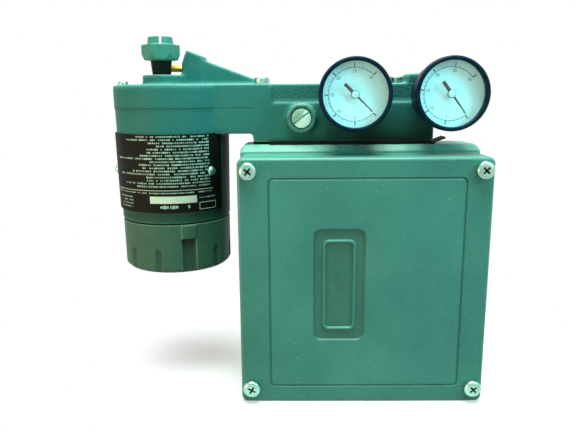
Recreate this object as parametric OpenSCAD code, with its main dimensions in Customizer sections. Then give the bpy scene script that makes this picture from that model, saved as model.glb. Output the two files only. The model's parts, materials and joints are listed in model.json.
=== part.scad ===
// Pneumatic valve positioner with a current-to-pressure converter on its side.
// Millimetres. +Z is up and the square cover faces -Y. The origin lies on the
// feedback shaft's axis, in the plane of the four mounting bosses on the back.

/* [Case] */
// Width of the front cover
case_w = 148; // [142:1:160]
// Height of the front cover
case_h = 151.5; // [146:0.5:165]
// Depth of the front cover
cover_d = 29; // [26:1:36]
// Depth of the rear casting
base_d = 32; // [30:1:38]
// Wall thickness of the two case castings
wall = 3.5; // [3:0.25:4.5]
// Thickness of the rear casting's back wall
back_wall = 5; // [4:0.5:7]
// Corner radius of the cover
cover_r = 4; // [2:0.5:6]
// Corner radius of the rear casting
base_r = 3.5; // [3:0.5:12]
// How far the rear casting's sides stand out from the cover's sides
base_proud = 0.5; // [0:0.25:2]
// How far the rear casting's top stands above the cover's top
base_rise = 4.75; // [1:0.25:6]
// Thickness of the gasket between cover and rear casting
gasket_t = 1; // [0.5:0.25:2]

/* [Cover face] */
// Width of the grooved panel on the cover
panel_w = 113; // [100:1:118]
// Height of the grooved panel on the cover
panel_h = 127.5; // [115:0.5:132]
// Drop of the panel's middle below the cover's middle
panel_drop = 0.5; // [0:0.5:3]
// Distance of the panel's middle to the right of the cover's middle
panel_right = 1.25; // [0:0.25:2.5]
// Width of the groove around the panel
groove_w = 1.1; // [0.6:0.1:1.6]
// Depth of the groove around the panel
groove_d = 0.8; // [0.4:0.1:1.2]
// Width of the shallow pocket in the panel
pocket_w = 30.5; // [24:0.5:36]
// Height of the shallow pocket
pocket_h = 69; // [60:1:76]
// Distance of the pocket's middle to the left of the cover's middle
pocket_left = 14.5; // [10:0.5:20]
// Drop of the pocket's middle below the cover's middle
pocket_drop = 0.5; // [0:0.25:3]
// Depth of the shallow pocket
pocket_d = 1.4; // [0.8:0.1:2]
// Width of the raised rim inside the pocket
rim_w = 19; // [15:1:22]
// Height of the raised rim inside the pocket
rim_h = 55.5; // [48:0.5:58]

/* [Fasteners] */
// Distance of the cover screws from the cover's sides
screw_side = 6.5; // [5.75:0.25:9]
// Distance of the upper cover screws from the cover's top
screw_top = 7.25; // [6.5:0.25:11]
// Distance of the lower cover screws from the cover's bottom
screw_low = 10; // [6.5:0.25:12]
// Diameter of the cover screws' heads
screw_head_d = 10.6; // [9:0.2:11]
// Height of the cover screws' heads
screw_head_h = 4.6; // [3:0.2:6]
// Shank diameter of the cover screws
screw_d = 5; // [4:0.5:6]

/* [Mounting] */
// Height of the mounting bosses on the back
boss_h = 12; // [8:1:18]
// Distance between the mounting holes, both ways
mount_pitch = 90; // [70:1:100]
// Tapping diameter of the mounting holes
mount_hole_d = 6.8; // [5:0.1:8.5]
// Diameter of the mounting bosses
boss_d = 18; // [14:1:22]

/* [Feedback shaft] */
// Diameter of the feedback shaft
shaft_d = 10; // [8:0.5:12]
// Length of the shaft outside the mounting plane
shaft_out = 18; // [16:1:26]
// Distance from the shaft to the far end of the feedback arm's slot
arm_l = 58; // [45:1:64]
// Width of the feedback arm
arm_w = 14; // [12:0.5:18]
// Thickness of the feedback arm
arm_t = 4; // [3:0.5:6]
// Width of the slot for the travel pin
arm_slot_w = 6.5; // [4:0.5:7]

/* [Cam and beam] */
// Radius of the cam at mid travel
cam_r = 22; // [19:0.5:24]
// Thickness of the cam
cam_t = 4; // [3:0.5:5]
// Distance from the beam's pivot to the cam follower
beam_reach = 40; // [36:1:42]
// Turn of the beam for each degree that the shaft turns
beam_ratio = 0.12; // [0.06:0.01:0.14]
// Diameter of the cam follower
follower_d = 10; // [8:0.5:11]
// Gap between nozzle and flapper at mid travel
flapper_gap = 0.7; // [0.6:0.1:1.2]
// Outer diameter of the bellows
bellows_d = 18; // [14:1:20]

/* [Manifold] */
// Width of the manifold block on top of the case
block_w = 113.5; // [108:0.5:118]
// Height of the manifold block
block_h = 36; // [33:1:42]
// Depth of the manifold block
block_d = 36; // [34:1:40]
// Distance of the block's left end from the case's middle
block_left = 66.75; // [64:0.25:68]
// Thickness of the gasket under the block
block_gasket_t = 1.5; // [1:0.25:3.5]
// Height of the set-back band along the block's top
band_h = 11.75; // [9:0.25:13]
// How far the band is set back
band_set = 2; // [1:0.25:3]
// Tapping diameter of the air ports
port_d = 11.4; // [10:0.2:12]

/* [Converter] */
// Distance from the block's left end to the converter's axis
arm_reach = 54.25; // [52:0.25:62]
// Radius of the converter's can at the top
can_r_top = 37.25; // [36:0.25:38.5]
// Radius of the converter's can at the cap
can_r = 35.75; // [34:0.25:36.5]
// Height of the can above its cap
can_h = 86; // [82:1:92]
// Height of the screwed cap
cap_h = 32.4; // [28:0.2:36]
// Inner radius of the can
can_bore_r = 28; // [27:0.25:29]
// Distance from the front of the block to the converter's axis
can_back = 22; // [20:0.5:25]
// Number of grip positions around the cap
flute_count = 11; // [8:1:14]
// Diameter of the conduit entry on the back of the can
conduit_d = 18.6; // [14:0.2:19]

/* [Gauges] */
// Outer diameter of the gauge bezels
gauge_d = 42.5; // [40:0.5:46]
// Depth of a gauge from bezel to socket
gauge_depth = 30; // [28:1:36]
// Distance of the left gauge's axis from the case's middle, along X
gauge_left_x = -5.6; // [-8:0.2:-4]
// Distance between the two gauges' axes
gauge_pitch = 55.25; // [50:0.25:58]
// Distance of the gauges' axes below the block's top
gauge_drop = 7; // [4:0.5:9]
// Angle of the left pointer at zero, below the horizontal
zero_left = 44; // [30:1:60]
// Angle of the right pointer at zero, below the horizontal
zero_right = 53; // [30:1:60]

/* [Hidden] */
$fn = 64;

// Fits and allowances
slip = 0.05;        // radial gap of a seated fit
run = 0.04;         // radial gap of a turning fit
clear = 0.3;        // gap between pieces that pass each other
eps = 0.5;          // overshoot of a cut beyond the face that it opens

// Levels along Y, from the mounting plane forwards
base_back = -boss_h;
base_front = base_back - base_d;
cover_back = base_front - gasket_t;
cover_front = cover_back - cover_d;
floor_y = base_back - back_wall;
block_set = 8;
block_front = base_front + block_set;
block_back = block_front + block_d;
can_y = block_front + can_back;

// Levels along Z
case_top = case_h / 2 + base_rise;
case_low = -case_h / 2;
cavity_top = case_h / 2 - wall;
block_z = case_top + block_gasket_t;
block_top = block_z + block_h;
band_z = block_top - band_h;
arm_lift = 5.2;
arm_z = block_z + arm_lift;
can_z = block_top - can_h;
cap_z = can_z - cap_h;

// Places along X
base_w = case_w + 2 * base_proud;
cavity_w = case_w - 2 * wall;
block_x = -block_left;
block_end = block_x + block_w;
can_x = block_x - arm_reach;
screw_x = case_w / 2 - screw_side;
screw_zs = [case_low + screw_low, case_h / 2 - screw_top];
screw_r = screw_d / 2;
post_r = screw_side - 0.1;
mount_floor = 1.5;

// Feedback shaft
shaft_r = shaft_d / 2;
bush_r = shaft_r + 2;
bush_flange_r = bush_r + 3;
shaft_boss_r = bush_r + 4;
shaft_boss_h = 9;
bush_flange_t = 2;
bush_front = floor_y - shaft_boss_h - bush_flange_t;
clip_t = 1.5;
clip_r = shaft_r + 3.5;
clip_groove_r = shaft_r - 1;
arm_y = 6;
arm_end_z = -arm_l;
nut_r = 7.5;
nut_h = 6;
stud_r = shaft_r - 1;

// Cam, follower and beam
cam_stand = 27;
cam_back = floor_y - cam_stand;
cam_front = cam_back - cam_t;
cam_hub_r = 12;
cam_screw_r = 6;
cam_screw_h = 3.5;
cam_thread_r = 2.5;
follower_r = follower_d / 2;
follower_x = 0;
follower_z = cam_r + follower_r + clear;
follower_pin_r = 1.5;
pivot_x = follower_x - beam_reach;
pivot_z = follower_z + 6.7;
pivot_r = 2.5;
pivot_head_r = 4.5;
pivot_head_h = 2;
beam_t = 5;
beam_h = 8;
beam_back = cam_front - 1;
beam_front = beam_back - beam_t;
beam_under = pivot_z - beam_h / 2;
cam_span = 45;
cam_step = 3;
post_boss_r = 6;

// Flapper and nozzle
flapper_x = pivot_x + 7;
flapper_t = 1.5;
flapper_w = 8;
nozzle_r = 2.5;
nozzle_y = (beam_front + beam_back) / 2;
nozzle_top = beam_under - flapper_t - flapper_gap;
nozzle_l = 17.5;
nozzle_bracket_z = nozzle_top - nozzle_l;
nozzle_bracket_h = 7;
nozzle_bracket_w = 12;
nozzle_way_r = 0.6;
locknut_r = 5;
locknut_h = 3;

// Bellows
bellows_r = bellows_d / 2;
bellows_x = -(cavity_w / 2 - bellows_r - 2.5);
bellows_count = 9;
bellows_z = -14;
bellows_top = beam_under - clear;
bellows_fold = 2.6;
bellows_cap_h = 3;
bellows_bracket_h = 6;
bellows_bracket_w = bellows_d + 2;

// Tubes
tube_r = 1.6;
tube_bend = 5;
tube_nut_r = 4;
tube_nut_h = 6;
signal_aside = 11;
block_screw_in = 5.5;
signal_x = block_x + block_screw_in + signal_aside;
signal_y = floor_y - 9;
nozzle_tube_y = floor_y - 7;

// Relay
relay_w = 46;
relay_h = 42;
relay_x = cavity_w / 2 - 10.5 - relay_w;
relay_z = case_low + wall + 8;
relay_d = 22;
relay_cap_r = 18;
relay_cap_h = 8;
diaphragm_t = 1;
relay_screw_inset = 5;
relay_mid_x = relay_x + relay_w / 2;
relay_mid_z = relay_z + relay_h / 2;
relay_front = floor_y - relay_d;
nozzle_tube_x = relay_x + 6;

// Manifold details
pad_x = 29.5;
pad_end = 64.5;
pad_z = block_top - 16;
pad_top = block_top + 5.8;
pad_d = 20;
gauge_boss_r = 13;
gauge_boss_out = 2;
plug_from_end = 30.5;
plug_x = block_x + plug_from_end;
plug_z = block_z + 14.8;
plug_boss_r = 9.2;
plug_boss_out = 3.5;
plug_head_r = 5.9;
plug_seat_r = 6.6;
plug_seat_d = 1.6;
plug_l = 13;
filter_l = 10;
port_r = port_d / 2;
port_depth = 16;
port_z = block_z + 15;
supply_x = block_x + 36;
output_x = pad_x - 21.5;
way_r = 2.5;
shelf_h = 13;
shelf_x = block_x - 2;
shelf_end = block_end + 9;
gasket_left = block_x + 10.5;
gasket_right = block_end + 0.6;
tongue_l = 6.8;
tongue_d = 12;
tongue_t = 1;
tongue_rise = 2.7;
gasket_proud = 2;
gasket_notch = 14;
brow_d = block_set - gasket_proud;
brow_h = base_rise - 0.75;
block_screw_r = 3;
block_screw_head_r = 4.4;
block_screw_head_h = 4;
block_screw_xs = [block_x + block_screw_in, pad_x - 6.5];
block_screw_ys = [block_front + 9, block_back - 8];
block_screw_bite = 12;

// Vent plug and its boss
vent_boss_x = can_x - 4.5;
vent_boss_y = can_y - 5;
vent_boss_r = 12.7;
vent_boss_h = 6.2;
vent_x = can_x - 4.6;
vent_turn = 12.5;
vent_y = can_y - 7;
vent_thread_r = 5.6;
vent_neck_r = 6.5;
vent_neck_h = 9.1;
vent_hex_r = 12.1;
vent_hex_h = 9.5;
vent_crown_r = 8.3;
vent_crown_top_r = 7.6;
vent_crown_h = 4.8;
vent_slot_w = 1.5;
vent_sink = 6;
vent_z = block_top + vent_boss_h;

// Inclined conduit hub on the can's top
hub_x = can_x + 6.5;
hub_y = can_y + 9;
hub_z = block_top + 11.9;
hub_tilt = 20.5;
hub_r = 11;
hub_collar_l = 11.5;
hub_neck_r = 9;
hub_l = 48;
hub_left = hub_x + 0.4;
hub_bore_r = 3.2;
hub_bore_l = 12;
brass_z = hub_z - 1;
brass_hex_r = 2.6;
brass_hex_l = 9;

// Converter can and cap
can_roof = 10;
can_step = 0.4;
can_step_z = block_top - 14.6;
can_round = 2;
spigot_r = can_r - 4;
spigot_l = 17;
seam = 0.6;
cap_wall_r = spigot_r + 0.2;
cap_floor = 7;
cap_r_low = can_r - 0.4;
cap_chamfer = 2.5;
ring_r = 1.2;
ring_mid_r = spigot_r + ring_r + run;
ring_seat_r = ring_mid_r + ring_r + run;
ring_seat_h = 2 * ring_r + 0.2;
ring_z = can_z - seam - ring_r - 0.1;
flute_r = 3.2;
flute_h = 17.5;
flute_bite = 1.6;
flute_fade = 4;
lug_angle = 22;
lug_w = 9.6;
lug_out = 0.8;
lug_slot_h = 22.6;
lug_slot_d = 2.6;
lug_slot_w = lug_w - 0.8;
conduit_boss_r = conduit_d / 2 + 5.5;
conduit_z = can_z + conduit_boss_r + 2;
conduit_out = can_r_top + 6;

// Nameplate on the can
plate_z = can_z + 7.5;
plate_h = 48.5;
plate_t = 1.2;
plate_mid = -12;
plate_span = 148;
plate_screw_r = 2.9;
plate_screw_h = 1.6;
plate_screw_z = plate_z + plate_h * 0.515;
plate_screw_angles = [-72, 48];

// Current-to-pressure module inside the can
roof_z = block_top - can_roof;
yoke_r = 22;
yoke_h = 33;
yoke_bore_r = 15;
yoke_cap = 5;
coil_r = 14;
coil_hole_r = 8;
coil_h = 20;
magnet_r = 6;
armature_gap = 1.2;
armature_t = 1.5;
armature_w = 8;
armature_l = 34;
armature_z = roof_z - yoke_h - armature_gap - armature_t;
armature_pin_x = 16;
armature_pin_r = 1;
ip_base_r = 26;
ip_base_h = 6;
ip_base_drop = 18;
ip_base_z = roof_z - yoke_h - ip_base_drop;
ip_post_r = 3;
ip_post_out = 18;
terminal_r = 24;
terminal_h = 12;
terminal_hub_r = 10;
terminal_hub_h = 4;
terminal_z = ip_base_z - terminal_hub_h - terminal_h;
terminal_screw_r = 3.5;
terminal_screw_h = 2.5;
terminal_pitch_r = 14;
terminal_angles = [210, 270, 330];

// Gauges
gauge_r = gauge_d / 2;
gauge_case_r = gauge_r - 0.5;
gauge_tail_r = gauge_r - 3;
gauge_wall = 1.2;
gauge_floor = 2.4;
gauge_back = block_front - gauge_boss_out;
gauge_front = gauge_back - gauge_depth;
gauge_z = block_top - gauge_drop;
gauge_right_x = gauge_left_x + gauge_pitch;
bezel_lip = 2;
bezel_d = 7;
bezel_lip_w = 2.5;
window_t = 1.5;
dial_t = 0.6;
dial_y = gauge_front + 8;
tail_y = dial_y + dial_t + 0.4;
pointer_y = dial_y - 2.6;
pointer_t = 0.6;
pointer_l = 14;
pointer_tail = 8.5;
pointer_hub_r = 2.4;
arbor_r = 1.2;
movement_r = 9;
movement_l = 10;
stem_r = 4.8;
stem_l = 12;
bourdon_r = 14;
bourdon_tube_r = 1.8;

// Colours
casting_green = [0.24, 0.52, 0.49];
zinc = [0.80, 0.84, 0.80];
steel = [0.62, 0.64, 0.66];
brass = [0.78, 0.62, 0.25];
copper = [0.72, 0.43, 0.26];
black = [0.06, 0.07, 0.08];
plastic = [0.16, 0.17, 0.18];
dial_white = [0.86, 0.95, 0.95];
glass = [0.75, 0.90, 0.92, 0.35];

// Radius of the can's outside at a height, from its cone
function can_radius(z) = can_r + (can_r_top - can_step - can_r) * (z - can_z) / (can_step_z - can_z);

// Middle of the cam follower when the shaft has turned by a
function follower_at(a) =
    let (t = a * beam_ratio, dx = follower_x - pivot_x, dz = follower_z - pivot_z)
    [pivot_x + dx * cos(t) - dz * sin(t), pivot_z + dx * sin(t) + dz * cos(t)];

// Point of the cam's edge that meets the follower when the shaft has turned by a
function cam_edge(a) =
    let (f = follower_at(a), x = f[0] * cos(a) - f[1] * sin(a), z = f[0] * sin(a) + f[1] * cos(a))
    [x, z] * (1 - (follower_r + clear) / norm([x, z]));

// Rectangle with round corners, about its middle
module round_rect(w, h, r) {
    square([w - 2 * r, h], center = true);
    square([w, h - 2 * r], center = true);
    for (x = [-1, 1], y = [-1, 1])
        translate([x * (w / 2 - r), y * (h / 2 - r)]) circle(r);
}

// Extrudes an outline drawn in X and Z along +Y, from y
module slab(y, d) {
    translate([0, y + d, 0]) rotate([90, 0, 0]) linear_extrude(d) children();
}

// Cylinder along +Y, from y
module rod_y(r, y, d) {
    translate([0, y, 0]) rotate([-90, 0, 0]) cylinder(r = r, h = d);
}

// Cone along +Y, from y
module cone_y(r1, r2, y, d) {
    translate([0, y, 0]) rotate([-90, 0, 0]) cylinder(r1 = r1, r2 = r2, h = d);
}

// Hexagon along +Y, from y
module hex_y(r, y, d) {
    translate([0, y, 0]) rotate([-90, 0, 0]) cylinder(r = r, h = d, $fn = 6);
}

// Box given by two opposite corners
module block(low, high) {
    translate(low) cube(high - low);
}

// Moves children to each cover screw
module at_cover_screws() {
    for (x = [-screw_x, screw_x], z = screw_zs) translate([x, 0, z]) children();
}

// Moves children to each mounting hole
module at_mounts() {
    for (x = [-1, 1], z = [-1, 1]) translate([x, 0, z] * mount_pitch / 2) children();
}

// Moves children to each manifold screw
module at_block_screws() {
    for (x = block_screw_xs, y = block_screw_ys) translate([x, y, 0]) children();
}

// Outside of the rear casting, which rises above the cover
module base_block() {
    slab(base_front, base_d) translate([0, base_rise / 2]) round_rect(base_w, case_h + base_rise, base_r);
}

// Slope cut along the rear casting's front top edge, down towards the cover
module brow_cut() {
    translate([-base_w / 2 - 1, 0, 0]) rotate([90, 0, 90]) linear_extrude(base_w + 2) polygon([
        [base_front - 1, case_top - brow_h - brow_h / brow_d],
        [base_front + brow_d, case_top],
        [base_front + brow_d, case_top + 1],
        [base_front - 1, case_top + 1]]);
}

// Rear casting with its bosses, posts and the shelf that carries the manifold
module base_casting() color(casting_green) difference() {
    union() {
        difference() {
            base_block();
            slab(base_front - eps, base_d - back_wall + eps)
                round_rect(cavity_w, case_h - 2 * wall, max(base_r - wall, 0.5));
        }
        intersection() {
            at_cover_screws() rod_y(post_r, base_front, base_d - 1);
            base_block();
        }
        at_mounts() rod_y(boss_d / 2, base_back - 1, boss_h + 1);
        rod_y(shaft_boss_r, floor_y - shaft_boss_h, shaft_boss_h + back_wall + boss_h / 2);
        block([shelf_x, base_back - eps, case_top - shelf_h], [shelf_end, block_back, case_top]);
        at_block_screws() translate([0, 0, case_top - block_screw_bite - 4])
            cylinder(r = block_screw_r + 3, h = block_screw_bite + 4);
    }
    brow_cut();
    at_cover_screws() rod_y(screw_r + clear / 2, base_front - eps, base_d - back_wall + eps);
    at_mounts() rod_y(mount_hole_d / 2, floor_y + mount_floor, boss_h + back_wall - mount_floor + eps);
    rod_y(bush_r + slip, floor_y - shaft_boss_h - eps, shaft_boss_h + back_wall + boss_h);
    at_block_screws() translate([0, 0, case_top - block_screw_bite - 1])
        cylinder(r = block_screw_r + slip, h = block_screw_bite + 1 + eps);
    translate([signal_x, signal_y, cavity_top - eps])
        cylinder(r = way_r, h = case_top - cavity_top + 2 * eps);
}

// Square cover with a grooved panel and a shallow pocket
module front_cover() color(casting_green) difference() {
    union() {
        difference() {
            slab(cover_front, cover_d) round_rect(case_w, case_h, cover_r);
            slab(cover_front + wall, cover_d)
                round_rect(case_w - 2 * wall, case_h - 2 * wall, max(cover_r - wall, 0.5));
        }
        at_cover_screws() rod_y(post_r, cover_front + wall / 2, cover_d - wall / 2);
    }
    at_cover_screws() rod_y(screw_r + clear, cover_front - eps, cover_d + 2 * eps);
    translate([panel_right, 0, -panel_drop]) slab(cover_front - eps, groove_d + eps) difference() {
        round_rect(panel_w + 2 * groove_w, panel_h + 2 * groove_w, 2 + groove_w);
        round_rect(panel_w, panel_h, 2);
    }
    translate([-pocket_left, 0, -pocket_drop]) slab(cover_front - eps, pocket_d + eps) difference() {
        round_rect(pocket_w, pocket_h, 4.5);
        difference() {
            round_rect(rim_w, rim_h, 3.5);
            round_rect(rim_w - 2.4, rim_h - 2.4, 2.3);
        }
    }
}

// Flat gasket between cover and rear casting
module cover_gasket() color(black) slab(cover_back, gasket_t) difference() {
    round_rect(case_w - 1, case_h - 1, base_r - 0.5);
    difference() {
        round_rect(cavity_w, case_h - 2 * wall, max(base_r - wall, 0.5));
        for (x = [-screw_x, screw_x], z = screw_zs) translate([x, z]) circle(post_r);
    }
    for (x = [-screw_x, screw_x], z = screw_zs) translate([x, z]) circle(screw_r + clear);
}

// Outline of a pan head, from its rim to its crown, turned about the screw's axis
module pan_head(r, h) {
    rotate_extrude() union() {
        square([r - h / 3, h]);
        square([r, h - h / 3]);
        translate([r - h / 3, h - h / 3]) circle(h / 3);
    }
}

// Cross recess that a driver fits, cut downwards from the crown
module cross_recess(r, depth) {
    for (a = [0, 90]) rotate(a) translate([-r, -r / 4, -depth]) cube([2 * r, r / 2, depth + eps]);
}

// Four captive screws in the cover's corners
module cover_screws() color(zinc) at_cover_screws() translate([0, cover_front, 0]) rotate([90, 45, 0])
    difference() {
        union() {
            pan_head(screw_head_d / 2, screw_head_h);
            translate([0, 0, -cover_d - 12]) cylinder(r = screw_r, h = cover_d + 12);
        }
        translate([0, 0, screw_head_h]) cross_recess(3, 2.4);
    }

// Flanged bronze bush that the shaft turns in
module shaft_bushing() color(brass) difference() {
    union() {
        rod_y(bush_r, bush_front, base_back + boss_h / 2 - bush_front);
        rod_y(bush_flange_r, bush_front, bush_flange_t);
    }
    rod_y(shaft_r + run, bush_front - eps, base_back + boss_h / 2 - bush_front + 2 * eps);
}

// Shaft that carries the cam inside and the feedback arm outside
module rotary_shaft() color(steel) difference() {
    union() {
        rod_y(shaft_r, cam_front, arm_y + arm_t - 1 - cam_front);
        rod_y(stud_r, arm_y, shaft_out - arm_y);
        rod_y(shaft_r + 3, arm_y - 2.5, 2.5);
    }
    difference() {
        rod_y(shaft_r + 1, bush_front - clear - clip_t, clip_t);
        rod_y(clip_groove_r, bush_front - clear - clip_t - eps, clip_t + 2 * eps);
    }
    rod_y(cam_thread_r, cam_front - eps, 10 + eps);
}

// Split ring that keeps the shaft in its bush
module shaft_clip() color(steel) slab(bush_front - clear - clip_t + slip, clip_t - 2 * slip) difference() {
    circle(clip_r);
    circle(clip_groove_r + slip);
    translate([0, -clip_r]) square([clip_groove_r, 2 * clip_r], center = true);
}

// Slotted arm that follows the valve stem
module feedback_arm() color(steel) slab(arm_y, arm_t) difference() {
    union() {
        circle(11);
        translate([0, arm_end_z / 2]) square([arm_w, arm_l], center = true);
        translate([0, arm_end_z]) circle(arm_w / 2);
    }
    circle(shaft_r + slip);
    for (z = [arm_end_z, -22]) translate([0, z]) circle(arm_slot_w / 2);
    translate([0, (arm_end_z - 22) / 2]) square([arm_slot_w, arm_l - 22], center = true);
}

// Nut that clamps the feedback arm to the shaft
module arm_nut() color(zinc) difference() {
    hex_y(nut_r, arm_y + arm_t, nut_h);
    rod_y(stud_r + slip, arm_y + arm_t - eps, nut_h + 2 * eps);
}

// Plate cam whose edge lifts the follower evenly as the shaft turns
module cam() color(zinc) difference() {
    union() {
        slab(cam_front, cam_t) {
            circle(cam_hub_r);
            polygon(concat([[0, 0]], [for (a = [-cam_span:cam_step:cam_span]) cam_edge(a)]));
        }
        rod_y(cam_hub_r - 3, cam_front, cam_t + 5);
    }
    rod_y(shaft_r + slip, cam_front - eps, cam_t + 5 + 2 * eps);
}

// Large-headed screw that locks the cam on the shaft
module cam_screw() color(brass) difference() {
    union() {
        rod_y(cam_screw_r, cam_front - cam_screw_h, cam_screw_h);
        rod_y(cam_thread_r - slip, cam_front - 1, 10);
    }
    translate([-cam_screw_r - 1, cam_front - cam_screw_h - eps, -0.7])
        cube([2 * cam_screw_r + 2, 1.5 + eps, 1.4]);
}

// Post on the back wall that carries the beam
module beam_post() color(steel) translate([pivot_x, 0, pivot_z]) difference() {
    rod_y(post_boss_r, beam_back + clear, floor_y - beam_back - clear);
    rod_y(pivot_r + slip, beam_back, 14);
}

// Shoulder screw that the beam rocks on
module beam_pivot() color(steel) translate([pivot_x, 0, pivot_z]) difference() {
    union() {
        rod_y(pivot_r, beam_front - clear, 18);
        rod_y(pivot_head_r, beam_front - clear - pivot_head_h, pivot_head_h);
    }
    translate([-pivot_head_r - 1, beam_front - clear - pivot_head_h - eps, -0.5])
        cube([2 * pivot_head_r + 2, 1 + eps, 1]);
}

// Rocking beam with the follower's pin at one end and the bellows pad at the other
module beam() color(zinc) {
    difference() {
        slab(beam_front, beam_t) {
            translate([(bellows_x - 5 + follower_x) / 2, pivot_z])
                square([follower_x - bellows_x + 5, beam_h], center = true);
            translate([pivot_x, pivot_z]) circle(beam_h / 2 + 0.6);
            translate([follower_x, (follower_z + pivot_z) / 2])
                square([beam_h, pivot_z - follower_z], center = true);
            translate([follower_x, pivot_z]) circle(beam_h / 2);
            translate([follower_x, follower_z]) circle(beam_h / 2);
        }
        translate([pivot_x, 0, pivot_z]) rod_y(pivot_r + run, beam_front - eps, beam_t + 2 * eps);
    }
    translate([follower_x, 0, follower_z]) rod_y(follower_pin_r, beam_front, cam_back - beam_front);
}

// Roller that rides on the cam
module cam_follower() color(steel) translate([follower_x, 0, follower_z]) difference() {
    rod_y(follower_r, cam_front, cam_t);
    rod_y(follower_pin_r + run, cam_front - eps, cam_t + 2 * eps);
}

// Flat flapper under the beam
module flapper() color(steel)
    block([flapper_x - flapper_w / 2, beam_front + 1, beam_under - flapper_t],
          [flapper_x + flapper_w / 2, beam_back, beam_under]);

// Bracket that holds the nozzle under the flapper
module nozzle_bracket() color(casting_green) difference() {
    block([flapper_x - nozzle_bracket_w / 2, beam_front - 1, nozzle_bracket_z],
          [flapper_x + nozzle_bracket_w / 2, floor_y, nozzle_bracket_z + nozzle_bracket_h]);
    translate([flapper_x, nozzle_y, nozzle_bracket_z - eps])
        cylinder(r = nozzle_r + slip, h = nozzle_bracket_h + 2 * eps);
}

// Drilled nozzle that the flapper throttles
module nozzle() color(brass) translate([flapper_x, nozzle_y, 0]) difference() {
    union() {
        translate([0, 0, nozzle_bracket_z]) cylinder(r = nozzle_r, h = nozzle_top - 2 - nozzle_bracket_z);
        translate([0, 0, nozzle_top - 2]) cylinder(r1 = nozzle_r, r2 = 1.4, h = 2);
    }
    translate([0, 0, nozzle_bracket_z - eps])
        cylinder(r = nozzle_way_r, h = nozzle_top - nozzle_bracket_z + 2 * eps);
}

// Nut that locks the nozzle's height, which sets zero
module nozzle_locknut() color(brass) translate([flapper_x, nozzle_y, nozzle_bracket_z + nozzle_bracket_h])
    difference() {
        cylinder(r = locknut_r, h = locknut_h, $fn = 6);
        translate([0, 0, -eps]) cylinder(r = nozzle_r + slip, h = locknut_h + 2 * eps);
    }

// Shelf on the back wall that the bellows stands on
module bellows_bracket() color(casting_green) difference() {
    block([bellows_x - bellows_bracket_w / 2, nozzle_y - bellows_r - 1, bellows_z - bellows_bracket_h],
          [max(bellows_x + bellows_bracket_w / 2, signal_x + tube_nut_r), floor_y, bellows_z]);
    translate([signal_x, signal_y, bellows_z - 4]) cylinder(r = tube_r + slip, h = 4 + eps);
}

// Folded metal bellows that turns signal pressure into force on the beam
module bellows() color(brass) translate([bellows_x, nozzle_y, bellows_z]) rotate_extrude() {
    pitch = (bellows_top - bellows_z - 2 * bellows_cap_h) / bellows_count;
    square([bellows_r, bellows_cap_h]);
    polygon(concat([[0, bellows_cap_h]],
        [for (i = [0:bellows_count - 1], s = [0, 0.5])
            [s == 0 ? bellows_r - bellows_fold : bellows_r, bellows_cap_h + (i + s) * pitch]],
        [[bellows_r - bellows_fold, bellows_cap_h + bellows_count * pitch],
         [0, bellows_cap_h + bellows_count * pitch]]));
    translate([0, bellows_top - bellows_z - bellows_cap_h]) square([bellows_r - 1, bellows_cap_h]);
}

// Hexagon tube nut, upwards from the origin
module tube_nut() {
    difference() {
        cylinder(r = tube_nut_r, h = tube_nut_h, $fn = 6);
        translate([0, 0, -eps]) cylinder(r = tube_r + slip, h = tube_nut_h + 2 * eps);
    }
}

// Copper tube that brings the signal down to the bellows, with its two nuts
module signal_tube() color(copper) translate([signal_x, signal_y, 0]) {
    translate([0, 0, bellows_z - 3]) cylinder(r = tube_r, h = cavity_top - 1 - bellows_z + 3);
    translate([0, 0, bellows_z]) tube_nut();
    translate([0, 0, cavity_top - tube_nut_h]) tube_nut();
}

// Copper tube that joins the relay to the nozzle bracket
module nozzle_tube() color(copper) {
    z0 = relay_z + relay_h;
    z1 = nozzle_bracket_z + nozzle_bracket_h / 2;
    x1 = flapper_x + nozzle_bracket_w / 2;
    translate([nozzle_tube_x, nozzle_tube_y, z0]) cylinder(r = tube_r, h = z1 - tube_bend - z0);
    translate([nozzle_tube_x - tube_bend, nozzle_tube_y, z1 - tube_bend]) rotate([90, 0, 0])
        rotate_extrude(angle = 90) translate([tube_bend, 0]) circle(tube_r);
    translate([x1, nozzle_tube_y, z1]) rotate([0, 90, 0])
        cylinder(r = tube_r, h = nozzle_tube_x - tube_bend - x1);
}

// Moves children to each relay screw
module at_relay_screws() {
    for (x = [relay_screw_inset, relay_w - relay_screw_inset],
        z = [relay_screw_inset, relay_h - relay_screw_inset])
        translate([relay_x + x, 0, relay_z + z]) children();
}

// Relay block that feeds the actuator
module relay_body() color(casting_green) difference() {
    block([relay_x, relay_front, relay_z], [relay_x + relay_w, floor_y, relay_z + relay_h]);
    at_relay_screws() rod_y(2 + slip, relay_front - eps, relay_d + 2 * eps);
    translate([relay_mid_x, 0, relay_mid_z]) rod_y(relay_cap_r - 6, relay_front - eps, 5 + eps);
}

// Rubber diaphragm clamped under the relay's cap
module relay_diaphragm() color(black) translate([relay_mid_x, 0, relay_mid_z])
    rod_y(relay_cap_r, relay_front - diaphragm_t, diaphragm_t);

// Round cap of the relay
module relay_cap() color(casting_green) translate([relay_mid_x, 0, relay_mid_z]) difference() {
    rod_y(relay_cap_r, relay_front - diaphragm_t - relay_cap_h, relay_cap_h);
    rod_y(relay_cap_r - 6, relay_front - diaphragm_t - 4, 4 + eps);
}

// Four screws that hold the relay to the back wall
module relay_screws() color(zinc) at_relay_screws() {
    rod_y(2, relay_front, relay_d);
    translate([0, relay_front, 0]) rotate([90, 0, 0]) difference() {
        pan_head(3.8, 2.6);
        translate([0, 0, 2.6]) cross_recess(1.8, 1.2);
    }
}

// Place in X and Z on the hub's sloping top, at a height over its axis and a length along it
function hub_top(r, l) = [
    hub_x + r * sin(hub_tilt) + l * cos(hub_tilt),
    hub_z + r * cos(hub_tilt) - l * sin(hub_tilt)];

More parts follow.
